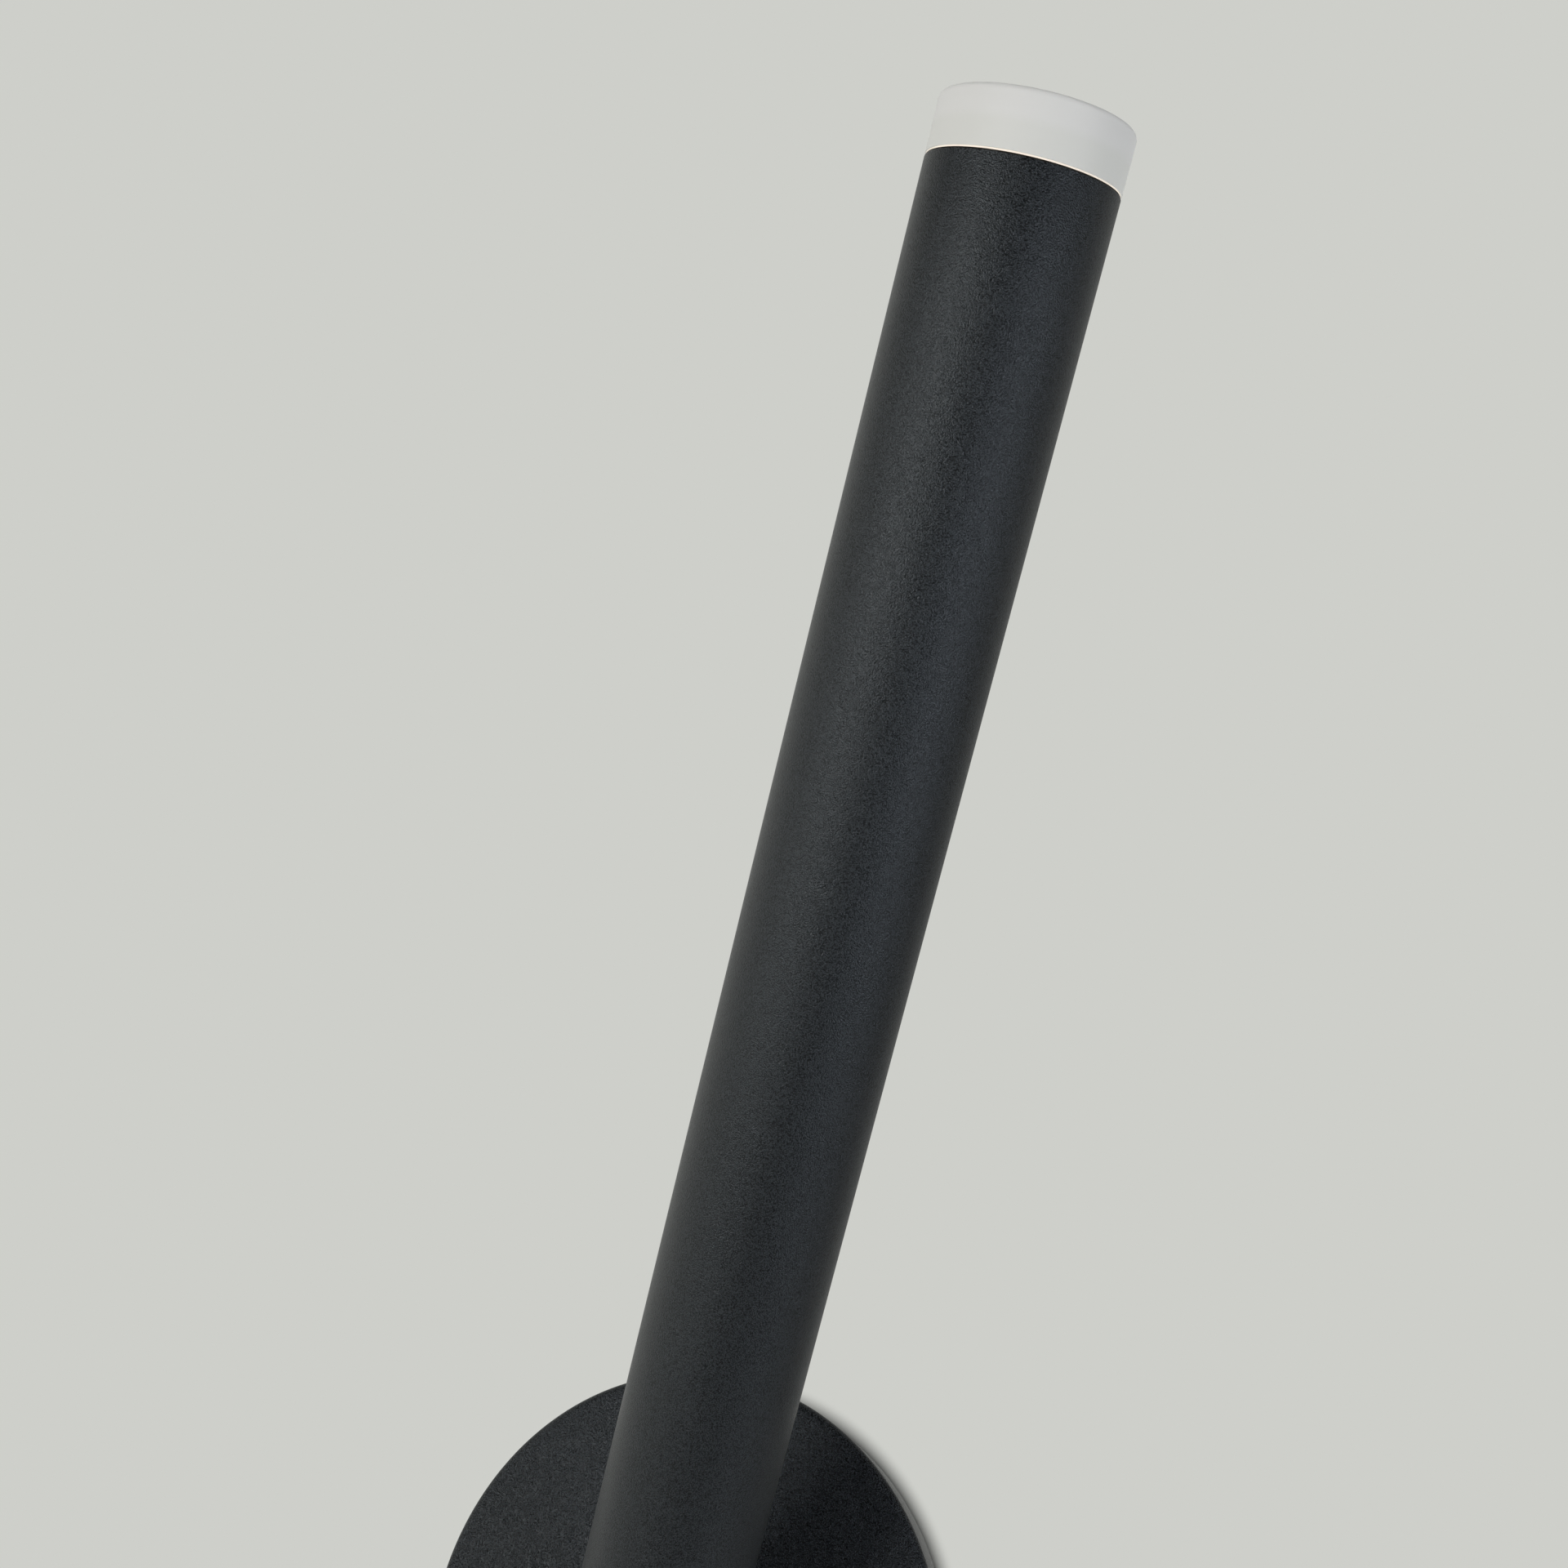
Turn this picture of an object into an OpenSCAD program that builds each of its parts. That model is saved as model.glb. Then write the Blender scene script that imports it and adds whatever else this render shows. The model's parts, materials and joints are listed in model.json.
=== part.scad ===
// Adjustable tube wall light: a round canopy on the wall, a swivel post in its
// face, and a slim tube that tilts on the post and glows at its upper end.
// The wall is the plane y = 0, the light stands out of it towards -Y, and +Z is up.

/* [Pose] */
// Turn of the tube about the wall axis, clockwise from straight up
swivel_rest = 22.5; // [0:0.5:60]
// Lean of the tube out of the wall
tilt_rest = 35; // [0:1:90]

/* [Canopy] */
// Outer diameter of the canopy
canopy_d = 104; // [100:1:130]
// Depth of the canopy, from the wall to its front face
canopy_depth = 30; // [29:1:40]
// Thickness of the canopy's side wall
canopy_wall = 1.5; // [1:0.1:2]
// Thickness of the canopy's front face
canopy_face = 2; // [1.5:0.1:2.5]
// Radius of the canopy's rounded front edge
canopy_edge = 1.8; // [0.5:0.1:3]
// Diameter of the screws through the canopy's sides
side_screw_d = 4; // [3:0.5:4]
// Distance of the side screws from the wall
side_screw_out = 9; // [8:0.5:12]

/* [Wall plate] */
// Thickness of the wall plate and its tabs
plate_t = 1.5; // [1:0.1:2]
// Radial gap between the wall plate and the canopy's side wall
plate_gap = 0.8; // [0.4:0.1:1.2]
// Distance between the centres of the two wall screw slots
slot_spacing = 70; // [64:1:74]
// Width of a wall screw slot
slot_w = 5; // [4:0.1:6]
// Length of a wall screw slot, end to end
slot_l = 12; // [9:0.5:14]
// Width of the tabs that take the side screws
tab_w = 14; // [10:0.5:16]
// Reach of the tabs out of the wall
tab_out = 14; // [13:0.5:18]
// Diameter of the cable hole in the plate
cable_hole_d = 16; // [13:0.5:18]
// Diameter of the hole in the cable grommet
cable_d = 8.5; // [7:0.5:10]

/* [Terminal block] */
// Distance between neighbouring poles
term_pitch = 8; // [7:0.5:9]
// Length of a pole
term_l = 20; // [18:1:24]
// Height of the terminal block
term_h = 14; // [12:0.5:16]

/* [Driver] */
// Length of the driver case
driver_l = 60; // [50:1:62]
// Width of the driver case
driver_w = 25; // [22:1:26]
// Height of the driver case with its cover
driver_h = 18; // [16:0.5:20]
// Wall thickness of the driver case
driver_wall = 1.5; // [1:0.1:2]

/* [Swivel] */
// Height of the tilt pin above the canopy's face
pin_height = 31; // [30:0.5:40]
// Diameter of the swivel post's flange
flange_d = 26; // [24:0.5:30]
// Thickness of the swivel post's flange
flange_t = 3.5; // [2.5:0.1:4]
// Diameter of the post's threaded shank
shank_d = 10; // [9:0.5:12]
// Diameter of the wire bore along the post
wire_bore_d = 5; // [4:0.1:5.5]
// Width of the swivel nut across its flats
nut_af = 14; // [13.5:0.5:15]
// Height of the swivel nut
nut_h = 6; // [5:0.5:7]
// Radius of the circle on which the stop pin stands
stop_circle_r = 13; // [12.5:0.1:14]
// Diameter of the stop pin
stop_pin_d = 3; // [2.5:0.1:3.5]

/* [Tilt joint] */
// Diameter of the tongue's eye, and width of the tongue
tongue_d = 14; // [12:0.5:15]
// Thickness of the tongue
tongue_t = 8; // [7:0.1:9]
// Outer diameter of the tilt sleeve, which is the hinge pin
sleeve_d = 6; // [5:0.1:7]
// Diameter of the tilt bolt's thread
bolt_d = 4; // [3:0.1:4.5]
// Diameter of the heads of the tilt bolt and sleeve
pin_head_d = 9; // [8:0.1:10]
// Thickness of a friction disc
disc_t = 0.6; // [0.4:0.1:1]
// Room above the tongue for the lead
lead_room = 4.5; // [3.5:0.1:6]

/* [Tube] */
// Outer diameter of the tube
tube_d = 30; // [28:0.5:33]
// Wall thickness of the tube
tube_wall = 1.5; // [1:0.1:2]
// Length from the tilt pin to the tube's upper rim
tube_reach = 260; // [180:1:400]
// Length from the tilt pin to the lower end of the tube
tube_tail = 20; // [18:0.5:21]
// Thickness of the joint block's end flange
end_flange_t = 2; // [1:0.1:3]
// Length of the joint block above the tilt pin
block_rise = 28; // [26:1:40]

/* [Light end] */
// Height of the diffuser's visible rim, gasket to top
cap_h = 8.8; // [6:0.1:14]
// Thickness of the diffuser's end
cap_lid = 4.4; // [2:0.1:5]
// Wall thickness of the diffuser's rim
cap_wall = 2.4; // [2:0.1:3]
// Radius of the diffuser's rounded edge
cap_edge = 1; // [0.3:0.1:2]
// Length of the diffuser's spigot in the tube
spigot_l = 8; // [5:0.5:12]
// Thickness of the gasket between the diffuser and the tube
gasket_t = 0.4; // [0.3:0.1:1]
// Height of the reflector between the diffuser and the board
reflector_h = 10; // [8:0.5:16]
// Thickness of the light source's board
board_t = 1.6; // [1:0.1:2]
// Length of the heat sink under the board
sink_l = 22; // [18:0.5:40]
// Diameter of the wire sheath from the driver to the board
lead_d = 2.6; // [2:0.1:3]

/* [Hidden] */
$fn = 72;

// Fits
over = 1;
run_gap = 0.05;
thread_gap = 0.05;
slip_gap = 0.1;
clear_gap = 0.3;

// Colours
paint = [0.055, 0.06, 0.065];
zinc = [0.72, 0.73, 0.74];
brass = [0.78, 0.62, 0.3];
bare_metal = [0.82, 0.83, 0.85];
white_plastic = [0.9, 0.9, 0.88];
frosted = [0.83, 0.83, 0.82];
cream = [0.93, 0.86, 0.74];
rubber_black = [0.08, 0.08, 0.08];
earth_green = [0.45, 0.62, 0.2];
wire_brown = [0.36, 0.22, 0.14];
board_green = [0.1, 0.35, 0.2];
fibre = [0.45, 0.3, 0.2];
phosphor = [0.95, 0.85, 0.35];

// Screw heads, as shares of the screw's diameter or of the head
head_d_share = 1.85;
head_h_share = 0.55;
drive_l_share = 0.6;
drive_w_share = 0.16;
drive_deep_share = 0.6;
socket_share = 0.45;
screw_back_gap = 0.2;
screw_sink = 0.4;

// Canopy and wall plate
canopy_r = canopy_d / 2;
inner_r = canopy_r - canopy_wall;
face_in = canopy_depth - canopy_face;
plate_r = inner_r - plate_gap;
tab_face = sqrt(pow(plate_r, 2) - pow(tab_w / 2, 2));
side_screw_l = canopy_r - tab_face + plate_t + canopy_wall;
grommet_flange_t = 1.6;
grommet_flange_w = 2;
grommet_neck = 2.4;

// Terminal block: the lower edge of its lowest pole clears the grommet
small_screw_d = 3;
term_poles = 3;
term_web = 1.6;
term_web_h = 5;
term_x = -4;
term_gap = 4;
term_span = term_poles * term_pitch;
term_ear_w = 7;
term_ear_t = 2.5;
term_ear_y = (term_span - term_web + term_ear_w) / 2;
term_y = cable_hole_d / 2 + grommet_flange_w + term_gap + term_span / 2;
insert_d = 4.6;
insert_bore = 3.2;
insert_l_share = 0.8;
insert_out = 5;
chimney_d = 3.8;
chimney_share = 0.26;
pole_screw_d = 3;

// Earth point
earth_x = 25;
earth_y = 30;
earth_screw_d = 4;
tag_r = 4.2;
tag_t = 0.8;
tag_barrel_l = 6;
tag_barrel_d = 3;
tag_neck_w = 3;
wire_d = 1.8;

// Driver: below the grommet, with a margin to the plate's edge
driver_gap = 3.1;
driver_margin = 1;
driver_y = -(cable_hole_d / 2 + grommet_flange_w + driver_gap + driver_w / 2);
cover_t = 1.6;
cover_lip = 2;
ear_l = 7;
ear_w = 12;
ear_t = 2;
pcb_t = 1.2;
pcb_up = 2.5;
pcb_margin = 0.4;
rib_w = 2;
wire_port_d = 3.4;
wire_port_out = driver_h / 2;

// Driver board: places as shares of the board's length and width
coil_place_share = [0.08, 0];
coil_size_share = [0.24, 0.62];
coil_h_share = 0.62;
can_place_shares = [[-0.36, 0.2], [0.36, -0.16]];
can_d_share = 0.36;
can_h_share = 0.66;
chip_place_shares = [[-0.14, -0.26], [-0.14, 0.24], [-0.37, -0.28]];
chip_size_share = [0.08, 0.2];
chip_h_share = 0.2;

// Swivel, measured out of the wall
bush_t = 0.8;
bush_wall = 1.2;
bush_d = shank_d + 2 * bush_wall + 2 * run_gap;
bush_flange_d = flange_d - 2 * bush_wall;
post_seat = canopy_depth + bush_t;
thrust_t = 0.8;
thrust_d = bush_d + 4 * bush_wall;
wave_t = 0.4;
wave_h = 1.4;
wave_count = 3;
wave_steps = 48;
nut_round_share = 1.1;
stop_t = 1.4;
lug_w = 4;
flat_share = 0.32;
shank_tail = 2;
thrust_back = face_in - thrust_t;
stop_back = thrust_back - stop_t;
wave_back = stop_back - wave_h;
nut_back = wave_back - nut_h;
shank_end = nut_back - shank_tail;
stop_ring_r = stop_circle_r - stop_pin_d / 2 - 2 * clear_gap;
stop_pin_back = stop_back - clear_gap;
window_out = post_seat + flange_t + wire_bore_d / 2 + over;
neck_taper = 1;

// Tilt joint, measured from the tilt pin along the tube
pin_out = canopy_depth + pin_height;
tube_r = tube_d / 2;
bore_r = tube_r - tube_wall;
block_r = bore_r - slip_gap / 2;
tube_start = end_flange_t - tube_tail;
cheek_gap = tongue_t + 2 * disc_t + 2 * run_gap;
slot_r = tongue_d / 2 + clear_gap * 2;
slot_top = tongue_d / 2 + lead_room;
disc_d = tongue_d - 2 * clear_gap;
pin_head_h = 4;
pin_recess = 0.7;
pin_face = tube_r - pin_recess;
head_seat = pin_face - pin_head_h;
tilt_washer_t = 0.5;
bolt_reach = tongue_t / 2;
bolt_head_seat = head_seat + tilt_washer_t;
sleeve_reach = head_seat - clear_gap;
block_wire_d = 5;
block_wire_y = -2.4;
block_screw_d = 3;
block_screw_l = 6;
block_screw_head_d = 6;
block_screw_margin = 1;
block_screw_first = slot_top + block_screw_margin + block_screw_head_d / 2;
block_screw_pitch = 7;

// Light end, measured from the tilt pin along the tube
rim = tube_reach;
cap_base = rim + gasket_t;
cap_cavity_r = tube_r - cap_wall;
spigot_base = rim - spigot_l;
spigot_wall = 1.6;
spigot_r = bore_r - slip_gap / 2;
gasket_inset = 0.15;
reflector_base = spigot_base - reflector_h;
reflector_mouth_r = spigot_r - spigot_wall;
reflector_throat_share = 0.72;
reflector_throat_r = reflector_mouth_r * reflector_throat_share;
board_base = reflector_base - board_t;
sink_base = board_base - sink_l;
sink_core_share = 0.62;
sink_fins = 10;
fin_gap_w = 2.4;
sink_cap = 4;
sink_wire_d = 6;
sink_screw_d = 3;
sink_screw_l = 5;
source_circle_share = 0.66;
source_r = reflector_throat_r * source_circle_share;
chip_count = 4;
chip_share = 0.53;
chip_w = source_r * chip_share;
chip_t = 0.8;
board_screw_share = 0.44;
board_screw_d = source_r * board_screw_share;
board_screw_l = 6;

// Routes of the leads, as plain functions of the pieces that they join
lead_sides = 8;
lead_steps = 5;
lane_x = (slot_spacing + slot_l) / 2;
lane_start_share = 0.72;
lane_high_share = 0.55;
lane_low_share = 0.6;
port_bend_share = 0.75;
return_x_share = 0.55;
drive_hex = 6;

module on_wall() {
    rotate([90, 0, 0])
        children();
}

module on_swivel() {
    on_wall()
        rotate([0, 0, -swivel_rest])
            children();
}

module on_tube() {
    rotate([0, swivel_rest, 0])
        translate([0, -pin_out, 0])
            rotate([tilt_rest, 0, 0])
                children();
}

module along_x() {
    rotate([0, 90, 0])
        children();
}

module ring(outer, inner, h) {
    difference() {
        cylinder(d = outer, h = h);
        translate([0, 0, -over])
            cylinder(d = inner, h = h + 2 * over);
    }
}

module slot_shape(l, w) {
    square([l - w, w], center = true);
    for (side = [-1, 1])
        translate([side * (l - w) / 2, 0])
            circle(d = w);
}

// A low dome of base diameter d and height h, standing on z = 0
module dome(d, h) {
    ball_r = (pow(d / 2, 2) + pow(h, 2)) / (2 * h);
    intersection() {
        translate([0, 0, h - ball_r])
            sphere(r = ball_r);
        cylinder(d = d + over, h = h + over);
    }
}

module cross_drive(d, deep) {
    for (turn = [0, 90])
        rotate([0, 0, turn])
            translate([0, 0, -deep / 2])
                cube([d * drive_l_share, d * drive_w_share, deep], center = true);
}

// A pan-head screw: its head stands on z = 0 and its shank hangs below
module pan_screw(d, l) {
    head = d * head_d_share;
    head_h = d * head_h_share;
    difference() {
        union() {
            dome(head, head_h);
            translate([0, 0, -l])
                cylinder(d = d - 2 * thread_gap, h = l + head_h / 2);
        }
        translate([0, 0, head_h + over / 2])
            cross_drive(head, head_h * drive_deep_share + over / 2);
    }
}

// A countersunk screw: its head is flush with z = 0 and its shank hangs below
module flush_screw(d, l, head) {
    head_h = (head - d) / 2;
    difference() {
        union() {
            translate([0, 0, -head_h])
                cylinder(d1 = d - 2 * thread_gap, d2 = head - 2 * thread_gap, h = head_h);
            translate([0, 0, -l])
                cylinder(d = d - 2 * thread_gap, h = l - head_h / 2);
        }
        cylinder(d = d * socket_share * 2, h = 2 * head_h, center = true, $fn = drive_hex);
    }
}

// Smooth curve through hand-chosen points
function between(a, b, c, d, t) =
    (2 * b + (c - a) * t + (2 * a - 5 * b + 4 * c - d) * pow(t, 2)
    + (3 * b - a - 3 * c + d) * pow(t, 3)) / 2;
function at(points, i) = points[max(0, min(len(points) - 1, i))];
function smooth(points) = concat(
    [for (i = [0:len(points) - 2]) for (k = [0:lead_steps - 1])
        between(at(points, i - 1), at(points, i), at(points, i + 1), at(points, i + 2), k / lead_steps)],
    [at(points, len(points) - 1)]);
function unit(v) = v / norm(v);
function heading(path, i) = unit(at(path, i + 1) - at(path, i - 1));

// A round lead along a route; the vector across never lies along the route
module lead(points, d, across) {
    path = smooth(points);
    rings = len(path);
    verts = [for (i = [0:rings - 1])
        let (ahead = heading(path, i), side = unit(cross(ahead, across)), up = cross(side, ahead))
        for (k = [0:lead_sides - 1])
            path[i] + (side * cos(k * 360 / lead_sides) + up * sin(k * 360 / lead_sides)) * d / 2];
    walls = [for (i = [0:rings - 2]) for (k = [0:lead_sides - 1])
        let (a = i * lead_sides + k, b = i * lead_sides + (k + 1) % lead_sides)
        each [[a, b, b + lead_sides], [a, b + lead_sides, a + lead_sides]]];
    near_end = [for (k = [lead_sides - 1:-1:0]) k];
    far_end = [for (k = [0:lead_sides - 1]) (rings - 1) * lead_sides + k];
    polyhedron(verts, concat(walls, [near_end, far_end]));
}

// Wall plate with its cable hole, screw slots and side tabs
module wall_plate() {
    color(zinc)
    on_wall() {
        linear_extrude(plate_t)
            difference() {
                circle(r = plate_r);
                circle(d = cable_hole_d);
                for (side = [-1, 1])
                    translate([side * slot_spacing / 2, 0])
                        slot_shape(slot_l, slot_w);
                translate([term_x, term_y + term_ear_y])
                    circle(d = small_screw_d);
                translate([term_x, term_y + pole_y(0)])
                    circle(d = small_screw_d + 2 * slip_gap);
                translate([earth_x, earth_y])
                    circle(d = earth_screw_d);
                for (side = [-1, 1])
                    translate([side * (driver_l + ear_l) / 2, driver_y])
                        circle(d = small_screw_d);
            }
        for (side = [-1, 1])
            difference() {
                translate([side * (tab_face - plate_t / 2), 0, tab_out / 2])
                    cube([plate_t, tab_w, tab_out], center = true);
                translate([side * tab_face, 0, side_screw_out])
                    along_x()
                        cylinder(d = side_screw_d, h = 4 * plate_t, center = true);
            }
    }
}

// Rubber grommet in the cable hole
module cable_grommet() {
    color(rubber_black)
    on_wall()
        difference() {
            union() {
                cylinder(d = cable_hole_d - 2 * run_gap, h = plate_t + over / 2);
                translate([0, 0, plate_t])
                    cylinder(d = cable_hole_d + 2 * grommet_flange_w, h = grommet_flange_t);
                translate([0, 0, plate_t + grommet_flange_t])
                    cylinder(d1 = cable_hole_d, d2 = cable_d + 2 * grommet_flange_w, h = grommet_neck);
            }
            translate([0, 0, -over])
                cylinder(d = cable_d, h = plate_t + grommet_flange_t + grommet_neck + 2 * over);
        }
}

module at_terminal() {
    on_wall()
        translate([term_x, term_y, plate_t])
            children();
}

function pole_y(i) = (i - (term_poles - 1) / 2) * term_pitch;

// Three-pole terminal housing
module terminal_block() {
    color(white_plastic)
    at_terminal()
        difference() {
            union() {
                for (i = [0:term_poles - 1])
                    translate([0, pole_y(i), term_h / 2])
                        cube([term_l, term_pitch - term_web, term_h], center = true);
                translate([0, 0, term_web_h / 2])
                    cube([term_l / 2, term_span - term_web, term_web_h], center = true);
                translate([0, term_ear_y / 2, term_ear_t / 2])
                    cube([term_ear_w, term_ear_y, term_ear_t], center = true);
                translate([0, term_ear_y, 0])
                    cylinder(d = term_ear_w, h = term_ear_t);
                translate([0, pole_y(0), screw_back_gap - plate_t])
                    cylinder(d = small_screw_d, h = plate_t);
            }
            for (i = [0:term_poles - 1])
                translate([0, pole_y(i), insert_out]) {
                    along_x()
                        cylinder(d = insert_d + 2 * run_gap, h = term_l + 2 * over, center = true);
                    for (side = [-1, 1])
                        translate([side * term_l * chimney_share, 0, 0])
                            cylinder(d = chimney_d, h = term_h);
                }
            translate([0, term_ear_y, -over])
                cylinder(d = small_screw_d + 2 * slip_gap, h = term_ear_t + 2 * over);
        }
}

// Brass tubes that clamp the wires
module terminal_inserts() {
    color(brass)
    at_terminal()
        for (i = [0:term_poles - 1])
            translate([0, pole_y(i), insert_out])
                difference() {
                    along_x()
                        ring_tube(insert_d, insert_bore, term_l * insert_l_share);
                    for (side = [-1, 1])
                        translate([side * term_l * chimney_share, 0, 0])
                            cylinder(d = pole_screw_d, h = insert_d);
                }
}

// A tube centred on its own middle
module ring_tube(outer, inner, h) {
    translate([0, 0, -h / 2])
        ring(outer, inner, h);
}

// Clamping screws, two to a pole
module terminal_screws() {
    shank = term_h - insert_out - pole_screw_d / 2;
    color(zinc)
    at_terminal()
        for (i = [0:term_poles - 1])
            for (side = [-1, 1])
                translate([side * term_l * chimney_share, pole_y(i), insert_out + insert_bore / 2])
                    difference() {
                        cylinder(d = pole_screw_d - 2 * thread_gap, h = shank - pole_screw_d / 2);
                        translate([0, 0, shank - pole_screw_d / 2])
                            cube([pole_screw_d + over, pole_screw_d * drive_w_share, pole_screw_d],
                                center = true);
                    }
}

// Screw that holds the terminal block on the plate
module terminal_fixing_screw() {
    color(zinc)
    at_terminal()
        translate([0, term_ear_y, term_ear_t])
            pan_screw(small_screw_d, term_ear_t + plate_t - screw_back_gap);
}

module at_earth() {
    on_wall()
        translate([earth_x, earth_y, plate_t])
            children();
}

// Earth screw on the plate
module earth_screw() {
    color(zinc)
    at_earth()
        translate([0, 0, tag_t])
            pan_screw(earth_screw_d, tag_t + plate_t - screw_back_gap);
}

// Ring tag crimped on the earth wire
module earth_tag() {
    color(brass)
    at_earth()
        difference() {
            union() {
                cylinder(r = tag_r, h = tag_t);
                translate([-tag_r - tag_barrel_l / 2, -tag_neck_w / 2, 0])
                    cube([tag_barrel_l / 2 + tag_r, tag_neck_w, tag_t]);
                translate([-tag_r - tag_barrel_l, 0, tag_barrel_d / 2])
                    along_x()
                        cylinder(d = tag_barrel_d, h = tag_barrel_l);
            }
            translate([0, 0, -over])
                cylinder(d = earth_screw_d + 2 * slip_gap, h = tag_t + 2 * over);
            translate([-tag_r - tag_barrel_l - over, 0, tag_barrel_d / 2])
                along_x()
                    cylinder(d = wire_d + 2 * slip_gap, h = tag_barrel_l + over - wire_d / 2);
        }
}

// Mouth of a terminal pole on its right-hand side, in the wall frame
function pole_mouth(i) = [term_x + term_l * insert_l_share / 2, term_y + pole_y(i), plate_t + insert_out];

// Earth wire from the middle pole to the ring tag
module earth_lead() {
    start = pole_mouth(1);
    finish = [earth_x - tag_r - tag_barrel_l + wire_d, earth_y, plate_t + tag_barrel_d / 2];
    color(earth_green)
    on_wall()
        lead([
            start - [wire_d, 0, 0],
            start,
            start + [wire_d, 0, 0],
            (start + finish) / 2 - [wire_d / 2, 0, 0],
            finish - [tag_barrel_l, 0, 0],
            finish - [tag_barrel_l / 2, 0, 0],
            finish
        ], wire_d, [0, 1, 0]);
}

// Live and neutral wires from the outer poles to the driver
module input_leads() {
    port = [driver_l / 2, driver_y, plate_t + wire_port_out];
    color(wire_brown)
    on_wall()
        for (i = [0, term_poles - 1]) {
            start = pole_mouth(i);
            turn = i == 0 ? -1 : 1;
            lane = lane_x + turn * wire_d;
            lead([
                start - [wire_d, 0, 0],
                start,
                start + [wire_d * 2, 0, wire_d / 4],
                [lane * lane_start_share, start[1] - wire_d, start[2] + wire_d * 2],
                [lane, term_y - term_span * lane_high_share, port[2]],
                [lane, driver_y + driver_w * lane_low_share, port[2]],
                [port[0] + ear_l * port_bend_share + turn * wire_d, driver_y + turn * wire_d, port[2]],
                [port[0] - driver_wall, driver_y + turn * wire_d, port[2]]
            ], wire_d, [0, 0, 1]);
        }
}

module at_driver() {
    on_wall()
        translate([0, driver_y, plate_t])
            children();
}

// A rectangle in the driver's frame that stops short of the plate's edge
module driver_outline(l, w, inset) {
    intersection() {
        square([l - 2 * inset, w - 2 * inset], center = true);
        translate([0, -driver_y])
            circle(r = plate_r - driver_margin - inset);
    }
}

// Driver tray with its two ears
module driver_case() {
    color(white_plastic)
    at_driver()
        difference() {
            union() {
                linear_extrude(driver_h - cover_t)
                    driver_outline(driver_l, driver_w, 0);
                linear_extrude(ear_t)
                    driver_outline(driver_l + 2 * ear_l, ear_w, 0);
            }
            translate([0, 0, driver_wall])
                linear_extrude(driver_h)
                    driver_outline(driver_l, driver_w, driver_wall);
            for (side = [-1, 1]) {
                translate([side * (driver_l + ear_l) / 2, 0, -over])
                    cylinder(d = small_screw_d + 2 * slip_gap, h = ear_t + 2 * over);
                for (pair = [-1, 1])
                    translate([side * driver_l / 2, pair * wire_d * max(side, 0), wire_port_out])
                        along_x()
                            cylinder(d = wire_port_d, h = 4 * driver_wall, center = true);
            }
        }
}

// Lid of the driver, with a lip inside the tray
module driver_cover() {
    color(white_plastic)
    at_driver()
        translate([0, 0, driver_h - cover_t]) {
            linear_extrude(cover_t)
                driver_outline(driver_l, driver_w, 0);
            translate([0, 0, -cover_lip])
                linear_extrude(cover_lip)
                    difference() {
                        driver_outline(driver_l, driver_w, driver_wall + slip_gap);
                        driver_outline(driver_l, driver_w, 2 * driver_wall + slip_gap);
                    }
        }
}

// Circuit board with its coil, capacitors and chips, on two ribs
module driver_board() {
    board_l = driver_l - 2 * driver_wall - 2 * pcb_margin;
    board_w = driver_w - 2 * driver_wall - 2 * pcb_margin;
    room = driver_h - cover_t - cover_lip - driver_wall - pcb_up - pcb_t;
    coil_h = room * coil_h_share;
    chip_h = room * chip_h_share;
    color(board_green)
    at_driver()
        translate([0, 0, driver_wall]) {
            for (side = [-1, 1])
                translate([side * board_l / 4, 0, pcb_up / 2])
                    cube([rib_w, board_w, pcb_up], center = true);
            translate([0, 0, pcb_up])
                linear_extrude(pcb_t)
                    driver_outline(driver_l, driver_w, driver_wall + pcb_margin);
            translate([0, 0, pcb_up + pcb_t]) {
                translate([board_l * coil_place_share[0], board_w * coil_place_share[1], coil_h / 2])
                    cube([board_l * coil_size_share[0], board_w * coil_size_share[1], coil_h], center = true);
                for (place = can_place_shares)
                    translate([board_l * place[0], board_w * place[1], 0])
                        cylinder(d = board_w * can_d_share, h = room * can_h_share);
                for (place = chip_place_shares)
                    translate([board_l * place[0], board_w * place[1], chip_h / 2])
                        cube([board_l * chip_size_share[0], board_w * chip_size_share[1], chip_h],
                            center = true);
            }
        }
}

// Screws through the driver's ears
module driver_screws() {
    color(zinc)
    at_driver()
        for (side = [-1, 1])
            translate([side * (driver_l + ear_l) / 2, 0, ear_t])
                pan_screw(small_screw_d, ear_t + plate_t - screw_back_gap);
}

// Sheathed lead from the driver through the post's bore to its window
module output_lead() {
    port = [-driver_l / 2, driver_y, plate_t + wire_port_out];
    axis_in = shank_end - lead_d * 2;
    color(rubber_black)
    on_wall()
        lead([
            [port[0] + driver_wall, port[1], port[2]],
            [port[0] - driver_wall, port[1], port[2]],
            [port[0] - ear_l * port_bend_share, port[1] + lead_d / 2, port[2]],
            [-lane_x, driver_y + driver_w * lane_low_share, port[2]],
            [-lane_x * return_x_share, 0, port[2]],
            [-lead_d * 2, 0, port[2] - lead_d / 2],
            [0, 0, axis_in],
            [0, 0, shank_end + lead_d],
            [0, 0, window_out]
        ], lead_d, [0, 1, 0]);
}

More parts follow.
